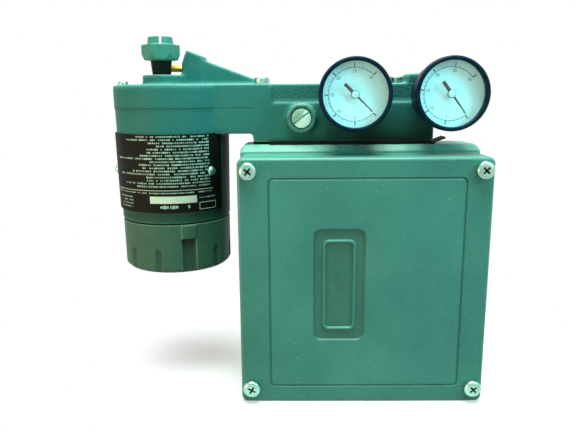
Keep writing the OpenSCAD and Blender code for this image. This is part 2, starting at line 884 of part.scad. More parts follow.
// Outside of the can, arm, block, bosses and hub as one casting
module housing_outside() {
    translate([can_x, can_y, can_z])
        cylinder(r1 = can_r, r2 = can_radius(can_step_z), h = can_step_z - can_z);
    translate([can_x, can_y, can_step_z]) rotate_extrude() union() {
        square([can_r_top - can_round, block_top - can_step_z]);
        square([can_r_top, block_top - can_step_z - can_round]);
        translate([can_r_top - can_round, block_top - can_step_z - can_round]) circle(can_round);
    }
    translate([can_x, can_y, can_z - spigot_l]) cylinder(r = spigot_r, h = spigot_l + 1);
    block([can_x, block_front, arm_z], [block_x + 1, can_y + can_back - 8, block_top]);
    block([block_x, block_front, block_z], [block_end, block_back, band_z]);
    block([block_x, block_front, band_z - 1], [gasket_left + 1, block_back, block_top]);
    block([block_x, block_front + band_set, band_z - 1], [block_end, block_back, block_top]);
    block([pad_x, block_front + band_set, pad_z], [pad_end, block_front + band_set + pad_d, pad_top]);
    for (x = [gauge_left_x, gauge_right_x]) translate([x, 0, gauge_z])
        rod_y(gauge_boss_r, gauge_back, gauge_boss_out + pad_d);
    translate([plug_x, 0, plug_z]) rod_y(plug_boss_r, block_front - plug_boss_out, plug_boss_out + 2);
    translate([vent_boss_x, vent_boss_y, block_top - 1]) cylinder(r = vent_boss_r, h = vent_boss_h + 1);
    slab(hub_y - hub_r + 1, 2 * hub_r - 2) polygon([
        [hub_left, block_top - 1],
        [hub_left, hub_z + (hub_left - hub_x) / tan(hub_tilt)],
        hub_top(hub_r, 0),
        hub_top(hub_r, hub_collar_l),
        [hub_top(hub_r, hub_collar_l).x, block_top - 1]]);
    slab(hub_y - hub_neck_r + 1, 2 * hub_neck_r - 2) polygon([
        [hub_top(hub_r, hub_collar_l).x - 2, block_top - 1],
        hub_top(hub_neck_r, hub_collar_l),
        hub_top(hub_neck_r, hub_l),
        [hub_top(hub_neck_r, hub_l).x, block_top - 1]]);
    translate([can_x, can_y, conduit_z]) rod_y(conduit_boss_r, 0, conduit_out);
}

// Casting that joins the converter's can to the manifold block
module converter_housing() color(casting_green) difference() {
    housing_outside();
    translate([can_x, can_y, can_z - spigot_l - eps])
        cylinder(r = can_bore_r, h = can_h - can_roof + spigot_l + eps);
    translate([can_x, can_y, conduit_z]) rod_y(conduit_d / 2, 0, conduit_out + eps);
    translate([plug_x, 0, plug_z]) {
        rod_y(plug_seat_r, block_front - plug_boss_out - eps, plug_seat_d + eps);
        rod_y(plug_head_r - 0.6, block_front - plug_boss_out, plug_l + filter_l);
    }
    for (x = [gauge_left_x, gauge_right_x]) translate([x, 0, gauge_z])
        rod_y(stem_r + slip, gauge_back - eps, stem_l + 1 + eps);
    for (x = [supply_x, output_x]) translate([x, 0, port_z]) {
        rod_y(port_r, block_back - port_depth, port_depth + eps);
        translate([0, block_back - port_depth + way_r + 1, -port_z + block_z - eps])
            cylinder(r = way_r, h = port_z - block_z + eps);
    }
    at_block_screws() translate([0, 0, block_z - eps])
        cylinder(r = block_screw_r + clear, h = block_h + 2 * eps);
    translate([signal_x, signal_y, block_z - eps]) cylinder(r = way_r, h = 12 + eps);
    translate([vent_x, vent_y, vent_z - vent_sink - 1])
        cylinder(r = vent_thread_r + slip, h = vent_sink + 1 + eps);
    translate([hub_left - eps, hub_y, brass_z]) rotate([0, 90, 0])
        cylinder(r = hub_bore_r, h = hub_bore_l + eps);
}

// Black gasket between manifold and case, proud in front, with a tongue that lifts at its right end
module block_gasket() color(black) difference() {
    union() {
        translate([0, 0, case_top]) linear_extrude(block_gasket_t) {
            translate([gasket_left, block_front - gasket_proud])
                square([gasket_right - gasket_left, block_d + gasket_proud]);
            translate([block_x, block_front + gasket_notch])
                square([gasket_left - block_x + 1, block_d - gasket_notch]);
            translate([block_x, block_front + 4]) square([gasket_left - block_x - 1, gasket_notch]);
        }
        slab(block_front - 1, tongue_d) polygon([
            [gasket_right - 0.4, block_z - tongue_t],
            [gasket_right + tongue_l, block_z + tongue_rise - tongue_t],
            [gasket_right + tongue_l, block_z + tongue_rise],
            [gasket_right - 0.4, block_z]]);
    }
    at_block_screws() translate([0, 0, case_top - eps])
        cylinder(r = block_screw_r + clear, h = block_gasket_t + 2 * eps);
    for (x = [supply_x, output_x]) translate([x, block_back - port_depth + way_r + 1, case_top - eps])
        cylinder(r = way_r, h = block_gasket_t + 2 * eps);
    translate([signal_x, signal_y, case_top - eps]) cylinder(r = way_r, h = block_gasket_t + 2 * eps);
}

// Four socket screws that hold the manifold down
module block_screws() color(zinc) at_block_screws() difference() {
    union() {
        translate([0, 0, case_top - block_screw_bite])
            cylinder(r = block_screw_r, h = block_top - case_top + block_screw_bite);
        translate([0, 0, block_top]) cylinder(r = block_screw_head_r, h = block_screw_head_h);
    }
    translate([0, 0, block_top + block_screw_head_h - 2.5]) cylinder(r = 2.6, h = 2.5 + eps, $fn = 6);
}

// Slotted plug in the round boss on the block's front
module port_plug() color(zinc) translate([plug_x, 0, plug_z]) difference() {
    union() {
        rod_y(plug_head_r, block_front - plug_boss_out + 0.3, plug_seat_d - 0.3);
        rod_y(plug_head_r - 0.6 - slip, block_front - plug_boss_out + 0.3, plug_l - 1);
    }
    rotate([0, -35.7, 0]) translate([-plug_head_r - 1, block_front - plug_boss_out - eps, -0.6])
        cube([2 * plug_head_r + 2, 1.4 + eps, 1.2]);
}

// Sintered filter behind the slotted plug
module supply_filter() color(brass) translate([plug_x, 0, plug_z])
    rod_y(plug_head_r - 0.6 - slip, block_front - plug_boss_out + plug_l - 0.6, filter_l);

// Hexagon vent plug with a tapered thread and a slotted crown
module vent_plug() color(casting_green) translate([vent_x, vent_y, vent_z]) rotate(vent_turn) difference() {
    union() {
        translate([0, 0, -vent_sink]) cylinder(r = vent_thread_r, h = vent_sink + 1);
        cylinder(r1 = vent_thread_r, r2 = vent_neck_r, h = vent_neck_h);
        translate([0, 0, vent_neck_h]) intersection() {
            cylinder(r = vent_hex_r, h = vent_hex_h, $fn = 6);
            cylinder(r1 = vent_hex_r - 1.6, r2 = vent_hex_r + 5, h = vent_hex_h * 1.6);
        }
        translate([0, 0, vent_neck_h + vent_hex_h])
            cylinder(r1 = vent_crown_r, r2 = vent_crown_top_r, h = vent_crown_h);
    }
    translate([-vent_slot_w / 2, -vent_crown_r - 1, vent_neck_h + vent_hex_h])
        cube([vent_slot_w, 2 * vent_crown_r + 2, vent_crown_h + eps]);
}

// Brass plug in the upright left face of the hub
module brass_plug() color(brass) translate([hub_left, hub_y, brass_z]) rotate([0, 90, 0]) {
    translate([0, 0, -brass_hex_l]) rotate(30) cylinder(r = brass_hex_r, h = brass_hex_l, $fn = 6);
    translate([0, 0, -1]) cylinder(r = hub_bore_r - slip, h = hub_bore_l);
}

// Small screw near the rim of the can's top
module ground_screw() color(zinc) translate([can_x - 28, can_y - 14, block_top]) difference() {
    pan_head(3.2, 2.2);
    translate([-4, -0.4, 1.2]) cube([8, 0.8, 1 + eps]);
}

// Curved plate on the front of the can
module nameplate() color(black) difference() {
    translate([can_x, can_y, 0]) rotate(plate_mid - 90 - plate_span / 2)
        rotate_extrude(angle = plate_span) polygon([
            [can_radius(plate_z) + slip, plate_z],
            [can_radius(plate_z) + plate_t, plate_z],
            [can_radius(plate_z + plate_h) + plate_t, plate_z + plate_h],
            [can_radius(plate_z + plate_h) + slip, plate_z + plate_h]]);
    block([can_x, block_front - clear, arm_z - clear], [block_x, block_back, block_top]);
}

// Two drive screws in the nameplate
module nameplate_screws() color(zinc) for (a = plate_screw_angles)
    translate([can_x, can_y, plate_screw_z]) rotate(a - 90)
        translate([can_radius(plate_screw_z) + plate_t + slip, 0, 0]) rotate([0, 90, 0])
            pan_head(plate_screw_r, plate_screw_h);

// Screwed cap with grip flutes and one lug, about its own axis
module converter_cap() color(casting_green) translate([can_x, can_y, 0]) difference() {
    union() {
        translate([0, 0, cap_z + cap_chamfer])
            cylinder(r1 = cap_r_low, r2 = can_r - 0.2, h = cap_h - seam - cap_chamfer);
        translate([0, 0, cap_z]) cylinder(r1 = cap_r_low - cap_chamfer, r2 = cap_r_low, h = cap_chamfer);
        intersection() {
            translate([0, 0, cap_z + lug_slot_h])
                cylinder(r = can_r - 0.2 + lug_out, h = cap_h - seam - lug_slot_h - 0.4);
            rotate(lug_angle - 90) translate([can_r - 6, -lug_w / 2, cap_z]) cube([8, lug_w, cap_h]);
        }
    }
    translate([0, 0, cap_z + cap_floor]) cylinder(r = cap_wall_r, h = cap_h);
    translate([0, 0, can_z - seam - ring_seat_h]) cylinder(r = ring_seat_r, h = ring_seat_h + eps);
    for (i = [1:flute_count - 1]) rotate(lug_angle - 90 + i * 360 / flute_count)
        translate([cap_r_low + flute_r - flute_bite, 0, cap_z]) {
            translate([0, 0, -eps]) cylinder(r = flute_r, h = flute_h - flute_fade + eps);
            translate([0, 0, flute_h - flute_fade])
                cylinder(r1 = flute_r, r2 = flute_r / 3, h = flute_fade);
        }
    rotate(lug_angle - 90) translate([can_r - lug_slot_d, -lug_slot_w / 2, cap_z - eps])
        cube([8, lug_slot_w, lug_slot_h + eps]);
}

// Ring that seals the cap and travels down with it
module cap_o_ring() color(black) translate([can_x, can_y, ring_z]) rotate_extrude()
    translate([ring_mid_r, 0]) circle(ring_r);

// Iron yoke of the current-to-pressure module
module ip_yoke() color(steel) translate([can_x, can_y, roof_z - yoke_h]) difference() {
    cylinder(r = yoke_r, h = yoke_h);
    translate([0, 0, -eps]) cylinder(r = yoke_bore_r, h = yoke_h - yoke_cap + eps);
}

// Copper coil inside the yoke
module ip_coil() color(copper) translate([can_x, can_y, roof_z - yoke_cap - coil_h]) difference() {
    cylinder(r = coil_r, h = coil_h);
    translate([0, 0, -eps]) cylinder(r = coil_hole_r, h = coil_h + 2 * eps);
}

// Magnet core inside the coil
module ip_magnet() color(steel) translate([can_x, can_y, roof_z - yoke_cap - coil_h - 4])
    cylinder(r = magnet_r, h = coil_h + 4);

// Plate with two posts and the pilot nozzle
module ip_base() color(plastic) translate([can_x, can_y, 0]) {
    translate([0, 0, ip_base_z]) cylinder(r = ip_base_r, h = ip_base_h);
    for (y = [-1, 1]) translate([0, y * ip_post_out, ip_base_z + ip_base_h - 1])
        cylinder(r = ip_post_r, h = roof_z - yoke_h - ip_base_z - ip_base_h + 1);
    translate([-armature_pin_x + 2, 0, ip_base_z + ip_base_h - 1])
        cylinder(r = 2, h = armature_z - 1.2 - ip_base_z - ip_base_h + 1);
    difference() {
        block([armature_pin_x - 3, -armature_w / 2 - 4, ip_base_z + ip_base_h - 1],
              [armature_pin_x + 3, armature_w / 2 + 4, armature_z + 1]);
        block([armature_pin_x - 4, -armature_w / 2 - clear, ip_base_z + ip_base_h],
              [armature_pin_x + 4, armature_w / 2 + clear, armature_z + 2]);
        translate([armature_pin_x, 0, armature_z - 2])
            rod_y(armature_pin_r + slip, -armature_w, 2 * armature_w);
    }
}

// Pin that the armature rocks on
module ip_pivot() color(steel) translate([can_x + armature_pin_x, can_y, armature_z - 2])
    rod_y(armature_pin_r, -armature_w / 2 - 4, armature_w + 8);

// Armature that moves between magnet and pilot nozzle
module ip_armature() color(zinc) translate([can_x, can_y, 0]) difference() {
    union() {
        block([armature_pin_x + 2 - armature_l, -armature_w / 2, armature_z],
              [armature_pin_x + 2, armature_w / 2, armature_z + armature_t]);
        translate([armature_pin_x, 0, armature_z - 2]) rod_y(2.2, -armature_w / 2, armature_w);
        block([armature_pin_x - 2.2, -armature_w / 2, armature_z - 2],
              [armature_pin_x + 2, armature_w / 2, armature_z + 1]);
    }
    translate([armature_pin_x, 0, armature_z - 2]) rod_y(armature_pin_r + run, -armature_w, 2 * armature_w);
}

// Moves children to each terminal
module at_terminals() {
    for (a = terminal_angles) translate([can_x, can_y, 0]) rotate(a)
        translate([terminal_pitch_r, 0, 0]) children();
}

// Block with the signal terminals, reached through the cap
module terminal_block() color(plastic) difference() {
    translate([can_x, can_y, 0]) {
        translate([0, 0, terminal_z]) cylinder(r = terminal_r, h = terminal_h);
        translate([0, 0, terminal_z + terminal_h - 1]) cylinder(r = terminal_hub_r, h = terminal_hub_h + 1);
    }
    at_terminals() translate([0, 0, terminal_z - eps]) cylinder(r = 1.5 + slip, h = 8 + eps);
}

// Terminal screws, heads down
module terminal_screws() color(zinc) at_terminals() difference() {
    union() {
        translate([0, 0, terminal_z - terminal_screw_h])
            cylinder(r = terminal_screw_r, h = terminal_screw_h);
        translate([0, 0, terminal_z - 1]) cylinder(r = 1.5, h = 8);
    }
    translate([-4, -0.5, terminal_z - terminal_screw_h - eps]) cube([8, 1, 1 + eps]);
}

// Cup of a gauge, open at the front
module gauge_case(x) color(black) translate([x, 0, gauge_z]) difference() {
    union() {
        rod_y(gauge_case_r, gauge_front + bezel_lip + window_t, tail_y - gauge_front - bezel_lip - window_t);
        cone_y(gauge_case_r, gauge_tail_r, tail_y, gauge_back - tail_y);
    }
    rod_y(gauge_case_r - gauge_wall, gauge_front, tail_y - gauge_front);
    cone_y(gauge_case_r - gauge_wall, gauge_tail_r - gauge_wall, tail_y, gauge_back - gauge_floor - tail_y);
    rod_y(stem_r + slip, gauge_back - 5, 6);
}

// Ring that holds a gauge's window
module gauge_bezel(x) color(black) translate([x, 0, gauge_z]) difference() {
    rod_y(gauge_r, gauge_front, bezel_d);
    rod_y(gauge_r - bezel_lip_w, gauge_front - eps, bezel_d);
    rod_y(gauge_case_r + slip, gauge_front + bezel_lip, bezel_d);
}

// Clear window of a gauge
module gauge_window(x) color(glass) translate([x, 0, gauge_z])
    rod_y(gauge_case_r - slip, gauge_front + bezel_lip, window_t);

// Printed dial of a gauge
module gauge_dial(x) color(dial_white) translate([x, 0, gauge_z]) difference() {
    rod_y(gauge_case_r - gauge_wall - slip, dial_y, dial_t);
    rod_y(arbor_r + 0.4, dial_y - eps, dial_t + 2 * eps);
}

// Pointer with its arbor, at zero
module gauge_pointer(x, zero) color(black) translate([x, 0, gauge_z]) {
    rotate([0, zero, 0]) slab(pointer_y - pointer_t, pointer_t) {
        polygon([[-2, -0.7], [pointer_l, -0.25], [pointer_l, 0.25], [-2, 0.7]]);
        translate([-pointer_tail / 2, 0]) square([pointer_tail, 1.9], center = true);
        circle(pointer_hub_r);
    }
    rod_y(arbor_r, pointer_y - pointer_t, dial_y + 6 - pointer_y);
}

// Movement, tube and stem of a gauge
module gauge_movement(x) color(brass) translate([x, 0, gauge_z]) {
    difference() {
        rod_y(movement_r, dial_y + dial_t, movement_l);
        rod_y(arbor_r + run, dial_y, 8);
    }
    rotate([0, -135, 0]) translate([0, dial_y + 5, 0]) rotate([-90, 0, 0])
        rotate_extrude(angle = 250) translate([bourdon_r, 0]) circle(bourdon_tube_r);
    rotate([0, -135, 0]) block([movement_r - 3, dial_y + 3.5, -2], [bourdon_r, dial_y + 6.5, 1]);
    rod_y(stem_r, dial_y + dial_t + movement_l - 0.5,
        gauge_back + stem_l - dial_y - dial_t - movement_l + 0.5);
}

base_casting();
front_cover();
cover_gasket();
cover_screws();
shaft_bushing();
rotary_shaft();
shaft_clip();
feedback_arm();
arm_nut();
cam();
cam_screw();
beam_post();
beam_pivot();
beam();
cam_follower();
flapper();
nozzle_bracket();
nozzle();
nozzle_locknut();
bellows_bracket();
bellows();
signal_tube();
nozzle_tube();
relay_body();
relay_diaphragm();
relay_cap();
relay_screws();
converter_housing();
block_gasket();
block_screws();
port_plug();
supply_filter();
vent_plug();
brass_plug();
ground_screw();
nameplate();
nameplate_screws();
converter_cap();
cap_o_ring();
ip_yoke();
ip_coil();
ip_magnet();
ip_base();
ip_pivot();
ip_armature();
terminal_block();
terminal_screws();
gauge_case(gauge_left_x);  // gauge_case_left
gauge_bezel(gauge_left_x);  // gauge_bezel_left
gauge_window(gauge_left_x);  // gauge_window_left
gauge_dial(gauge_left_x);  // gauge_dial_left
gauge_pointer(gauge_left_x, zero_left);  // gauge_pointer_left
gauge_movement(gauge_left_x);  // gauge_movement_left
gauge_case(gauge_right_x);  // gauge_case_right
gauge_bezel(gauge_right_x);  // gauge_bezel_right
gauge_window(gauge_right_x);  // gauge_window_right
gauge_dial(gauge_right_x);  // gauge_dial_right
gauge_pointer(gauge_right_x, zero_right);  // gauge_pointer_right
gauge_movement(gauge_right_x);  // gauge_movement_right
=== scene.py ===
# %% [markdown]
# A valve positioner is a small regulator that sits on a process valve. A square
# cast case holds a cam and a beam, a manifold on top carries two dial gauges, and
# a round can on the side turns an electric current into an air signal.
# The CAD model gives every solid its size and place. This script dresses it.

# %% Load the frame
import json
import math

import bmesh
import bpy
import numpy as np
from mathutils import Matrix, Vector


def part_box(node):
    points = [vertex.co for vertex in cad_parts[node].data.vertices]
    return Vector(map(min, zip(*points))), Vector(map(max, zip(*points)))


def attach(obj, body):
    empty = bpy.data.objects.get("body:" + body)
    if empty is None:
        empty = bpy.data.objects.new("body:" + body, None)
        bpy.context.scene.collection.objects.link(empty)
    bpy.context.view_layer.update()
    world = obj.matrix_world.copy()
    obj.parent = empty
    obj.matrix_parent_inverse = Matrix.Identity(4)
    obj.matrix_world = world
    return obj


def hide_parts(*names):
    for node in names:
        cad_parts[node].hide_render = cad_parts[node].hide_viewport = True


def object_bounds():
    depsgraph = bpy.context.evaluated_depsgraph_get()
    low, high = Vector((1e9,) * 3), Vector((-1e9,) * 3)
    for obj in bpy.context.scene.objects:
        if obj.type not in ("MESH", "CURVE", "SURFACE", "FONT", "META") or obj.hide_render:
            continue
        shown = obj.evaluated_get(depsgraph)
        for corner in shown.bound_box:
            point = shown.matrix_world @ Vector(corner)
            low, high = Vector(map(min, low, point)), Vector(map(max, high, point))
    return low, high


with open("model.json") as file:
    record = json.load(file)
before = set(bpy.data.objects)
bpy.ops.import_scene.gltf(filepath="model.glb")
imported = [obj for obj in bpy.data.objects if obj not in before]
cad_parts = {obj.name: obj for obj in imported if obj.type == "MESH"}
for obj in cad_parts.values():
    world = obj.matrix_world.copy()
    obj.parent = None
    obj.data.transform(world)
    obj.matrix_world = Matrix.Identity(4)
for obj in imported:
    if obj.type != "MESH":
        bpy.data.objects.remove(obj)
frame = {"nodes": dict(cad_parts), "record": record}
cad_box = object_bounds()
nodes = frame["nodes"]
scene = bpy.context.scene
MM = 0.001

# %% [markdown]
# The camera stands a little above the case and to the left of its middle. Its place
# was found from where the cover's edges run together.

# %% Camera
IMAGE_W, FOCAL_PX = 577, 579
camera_data = bpy.data.cameras.new("portrait_camera")
camera_data.sensor_width = 36.0
camera_data.lens = FOCAL_PX / IMAGE_W * camera_data.sensor_width
camera = bpy.data.objects.new("portrait_camera", camera_data)
scene.collection.objects.link(camera)
camera.location = (-0.0410, -0.4033, 0.1102)
CAMERA_PITCH, CAMERA_YAW, CAMERA_ROLL = 11.72, 0.58, -0.41
camera.rotation_euler = (Matrix.Rotation(math.radians(CAMERA_YAW), 3, "Z")
                         @ Matrix.Rotation(math.radians(90 - CAMERA_PITCH), 3, "X")
                         @ Matrix.Rotation(math.radians(CAMERA_ROLL), 3, "Z")).to_euler()
scene.camera = camera
print("lens", round(camera_data.lens, 2), "mm")

# %% [markdown]
# A shader is a tree of nodes. A few small helpers keep the trees short: one adds a
# node and links its inputs, three more add the kinds used most, and the last opens a
# node group with named sockets. A group is a recipe that many materials share.

# %% Helpers for node trees
def add(tree, kind, inputs=None, **settings):
    """Adds a node, sets its options, and links or fills its inputs."""
    node = tree.nodes.new(kind)
    for name, value in settings.items():
        setattr(node, name, value)
    for key, value in (inputs or {}).items():
        if isinstance(value, bpy.types.NodeSocket):
            tree.links.new(value, node.inputs[key])
        else:
            node.inputs[key].default_value = value
    return node


def calc(tree, operation, *values, clamp=False):
    """A Math node on sockets and numbers; gives its output."""
    node = add(tree, "ShaderNodeMath", dict(enumerate(values)), operation=operation, use_clamp=clamp)
    return node.outputs[0]


def ramp(tree, value, low, high, start=0.0, end=1.0):
    """Maps a value from one range to another and holds it at the ends; gives its output."""
    return add(tree, "ShaderNodeMapRange", {"Value": value, 1: low, 2: high, 3: start, 4: end}).outputs[0]


def noise(tree, place, scale, detail, roughness=0.5):
    """A Noise texture; gives its value."""
    return add(tree, "ShaderNodeTexNoise", {"Vector": place, "Scale": scale, "Detail": detail,
                                            "Roughness": roughness}).outputs[0]


def open_group(name, kind, takes, gives):
    """Starts a node group and returns it with its input and output nodes."""
    tree = bpy.data.node_groups.new(name, kind)
    for label, socket, value in takes:
        made = tree.interface.new_socket(label, in_out="INPUT", socket_type="NodeSocket" + socket)
        if value is not None:
            made.default_value = value
    for label, socket in gives:
        tree.interface.new_socket(label, in_out="OUTPUT", socket_type="NodeSocket" + socket)
    return tree, tree.nodes.new("NodeGroupInput"), tree.nodes.new("NodeGroupOutput")


def srgb(red, green, blue):
    """Turns a colour as a screen shows it, 0 to 255, into Blender's linear one."""
    share = np.array([red, green, blue]) / 255
    linear = np.where(share <= 0.04045, share / 12.92, ((share + 0.055) / 1.055) ** 2.4)
    return (*linear.tolist(), 1.0)


print("a mid grey is", [round(v, 3) for v in srgb(128, 128, 128)])

# %% [markdown]
# Three effects come back on almost every surface of an old regulator. Sand casting
# leaves a grain, handling rubs the paint from proud edges, and what faces up is paled,
# partly by dust and partly as a painted sheen of top light. Each is a group that gives
# a mask or a height which varies over the surface, so a material only has to say how
# much of it it wants.

# %% Shared effects: grain, wear, and dust with painted sheen
grain_tree, taken, given = open_group(
    "cast_grain", "ShaderNodeTree",
    [("Vector", "Vector", None), ("Grain Scale", "Float", 900.0), ("Patch Scale", "Float", 18.0)],
    [("Height", "Float"), ("Tone", "Float")])
fine = noise(grain_tree, taken.outputs["Vector"], taken.outputs["Grain Scale"], 3.0)
patch = noise(grain_tree, taken.outputs["Vector"], taken.outputs["Patch Scale"], 4.0, 0.6)
spread = ramp(grain_tree, patch, 0.3, 0.7, 0.0, 0.6)
speckle = ramp(grain_tree, fine, 0.35, 0.65, 0.0, 0.4)
grain_tree.links.new(fine, given.inputs["Height"])
grain_tree.links.new(calc(grain_tree, "ADD", spread, speckle), given.inputs["Tone"])

wear_tree, taken, given = open_group(
    "edge_wear", "ShaderNodeTree",
    [("Vector", "Vector", None), ("Edge", "Float", 0.0), ("Scale", "Float", 160.0),
     ("Keep", "Float", 0.5)],
    [("Mask", "Float")])
chips = noise(wear_tree, taken.outputs["Vector"], taken.outputs["Scale"], 5.0, 0.7)
pushed = calc(wear_tree, "MULTIPLY", taken.outputs["Edge"], chips)
above = calc(wear_tree, "SUBTRACT", pushed, taken.outputs["Keep"])
wear_tree.links.new(calc(wear_tree, "MULTIPLY", above, 8.0, clamp=True), given.inputs["Mask"])

# Paling of what faces up: partly dust, partly a painted sheen of top light.
dust_and_sheen_tree, taken, given = open_group(
    "dust_sheen_group", "ShaderNodeTree",
    [("Vector", "Vector", None), ("Amount", "Float", 0.5)], [("Mask", "Float")])
facing = add(dust_and_sheen_tree, "ShaderNodeNewGeometry")
upward = add(dust_and_sheen_tree, "ShaderNodeSeparateXYZ", {0: facing.outputs["Normal"]})
level = ramp(dust_and_sheen_tree, upward.outputs["Z"], 0.55, 0.98)
dust_sheen_patches = calc(dust_and_sheen_tree, "MULTIPLY", level, noise(dust_and_sheen_tree, taken.outputs["Vector"], 120.0, 5.0))
dust_sheen_amount = calc(dust_and_sheen_tree, "MULTIPLY", dust_sheen_patches, taken.outputs["Amount"], clamp=True)
dust_and_sheen_tree.links.new(dust_sheen_amount, given.inputs["Mask"])
print("groups:", [group.name for group in (grain_tree, wear_tree, dust_and_sheen_tree)])

# %% [markdown]
# The castings carry one coat of teal paint. Its tone wanders a little, its grain
# shows as a fine bump, and bare aluminium comes through where proud edges are rubbed.
# The proud edges also pale, partly as thin rubbed paint and partly as a painted edge
# highlight, and the level faces pale with dust and with a painted sheen of top light.
# One function builds such a coat from a few values, and can take marks that only one
# casting has, such as the stains on the panel.

# %% Paint on the castings
def group_in(tree, group, inputs):
    """Places a shared group in a material."""
    return add(tree, "ShaderNodeGroup", inputs, node_tree=group)


def blend_colours(tree, factor, first, second):
    """Mixes two colours by a mask and returns the output socket."""
    return add(tree, "ShaderNodeMix", {0: factor, 6: first, 7: second}, data_type="RGBA").outputs[2]


def start_material(name):
    """A new material with its shader and its Object coordinates."""
    made = bpy.data.materials.new(name)
    made.use_nodes = True
    tree = made.node_tree
    place = add(tree, "ShaderNodeTexCoord").outputs["Object"]
    return made, tree, tree.nodes["Principled BSDF"], place


def set_skin(tree, shader, colour, tone, rough, height, depth, strength=1.0):
    """Links a colour, a roughness that follows the tone, and a bump of some depth in mm."""
    tree.links.new(colour, shader.inputs["Base Color"])
    tree.links.new(ramp(tree, tone, 0.0, 1.0, rough[1], rough[0]), shader.inputs["Roughness"])
    bump = add(tree, "ShaderNodeBump", {"Height": height, "Strength": strength, "Distance": depth * MM})
    tree.links.new(bump.outputs["Normal"], shader.inputs["Normal"])


# The pale mint colour stands for dust and also for a painted sheen of top light.
BARE_ALUMINIUM, DUST_SHEEN_COLOUR = srgb(186, 196, 186), srgb(150, 205, 182)


def casting_coat(name, light, dark, grain_scale=900.0, grain=0.06, rough=(0.36, 0.52), dust_and_sheen=0.5,
                 shine=0.3, chip=0.52, edge_pale_and_highlight=0.4, marks=None):
    """Paint over cast metal, with grain, rubbed edges, dust, and painted sheen and edge highlights."""
    made, tree, shader, place = start_material(name)
    cast = group_in(tree, grain_tree, {"Vector": place, "Grain Scale": grain_scale, "Patch Scale": 22.0})
    edge = add(tree, "ShaderNodeAttribute", attribute_name="edge", attribute_type="GEOMETRY").outputs["Fac"]
    worn = group_in(tree, wear_tree, {"Vector": place, "Edge": edge, "Keep": chip}).outputs["Mask"]
    dust_sheen_mask = group_in(tree, dust_and_sheen_tree, {"Vector": place, "Amount": dust_and_sheen}).outputs["Mask"]
    colour = blend_colours(tree, cast.outputs["Tone"], dark, light)
    height = cast.outputs["Height"]
    if marks:
        colour, height = marks(tree, place, colour, height)
    colour = blend_colours(tree, dust_sheen_mask, colour, DUST_SHEEN_COLOUR)
    # Proud edges pale towards that colour: partly thin rubbed paint, partly a painted edge highlight.
    colour = blend_colours(tree, calc(tree, "MULTIPLY", edge, edge_pale_and_highlight, clamp=True), colour, DUST_SHEEN_COLOUR)
    colour = blend_colours(tree, worn, colour, BARE_ALUMINIUM)
    set_skin(tree, shader, colour, cast.outputs["Tone"], rough, height, grain)
    tree.links.new(worn, shader.inputs["Metallic"])
    shader.inputs["Specular IOR Level"].default_value = shine
    return made


def panel_marks(tree, place, colour, height):
    """Adds a few brownish stains and small pale specks."""
    stained = ramp(tree, noise(tree, place, 42.0, 6.0, 0.75), 0.62, 0.74, 0.0, 0.55)
    colour = blend_colours(tree, stained, colour, srgb(98, 120, 88))
    specked = ramp(tree, noise(tree, place, 420.0, 1.0), 0.72, 0.78, 0.0, 0.5)
    return blend_colours(tree, specked, colour, srgb(120, 176, 158)), height


border_paint = casting_coat("border_paint", srgb(62, 132, 118), srgb(46, 110, 99), grain=0.05, dust_and_sheen=0.15,
                            chip=0.58, edge_pale_and_highlight=0.15)
panel_paint = casting_coat("panel_paint", srgb(66, 138, 122), srgb(46, 112, 104), grain_scale=1300.0,
                           grain=0.14, marks=panel_marks)
pocket_paint = casting_coat("pocket_paint", srgb(60, 118, 102), srgb(44, 96, 84), grain_scale=1300.0,
                            grain=0.12)
CASE_LIGHT, CASE_DARK = srgb(58, 140, 124), srgb(48, 122, 106)
# The case's level top is paled fully: partly dust, partly a painted sheen of top light.
case_paint = casting_coat("case_paint", CASE_LIGHT, CASE_DARK, grain=0.05, dust_and_sheen=1.0)
vent_paint = casting_coat("vent_paint", CASE_LIGHT, CASE_DARK, grain=0.05, dust_and_sheen=0.1, edge_pale_and_highlight=0.1)
print("coats:", border_paint.name, panel_paint.name, pocket_paint.name, case_paint.name, vent_paint.name)

# %% [markdown]
# On the manifold the casting has more marks. A parting line, where the two halves of
# the mould met, runs round the can and along the arm as a small step, and a dark line
# is painted along it as the shade under that step. The set-back band at the top was
# left as cast, so its skin is much coarser. The can turns darker and more olive towards
# the bottom. Painted shade darkens the can's side next to the case, and a painted
# shadow of the gauges darkens the block's foot. All are drawn from Object
# coordinates, which are metres of the real part.

# %% Paint on the manifold
def window_mask(tree, value, low, high, soft):
    """1 where a value lies between two limits, with soft ends."""
    rise = ramp(tree, value, low - soft, low + soft)
    return calc(tree, "MULTIPLY", rise, ramp(tree, value, high - soft, high + soft, 1.0, 0.0))


def both(tree, *masks):
    """1 only where every mask is 1."""
    product = masks[0]
    for mask in masks[1:]:
        product = calc(tree, "MULTIPLY", product, mask)
    return product


SEAM_Z, SEAM_END_X, SEAM_BACK_Y = (0.1023, 0.1029), -0.066, -0.012
BAND_Z, BAND_LEFT_X = (0.1068, 0.1175), -0.055
CAN_FOOT_Z, GAUGE_SHADOW_Z, GAUGE_SHADOW_X = (0.036, 0.06), (0.083, 0.106), (-0.05, 0.005)
CASE_SHADE_X, CASE_SHADE_END_X, ARM_LOW_Z = (-0.094, -0.086), -0.08, 0.0875


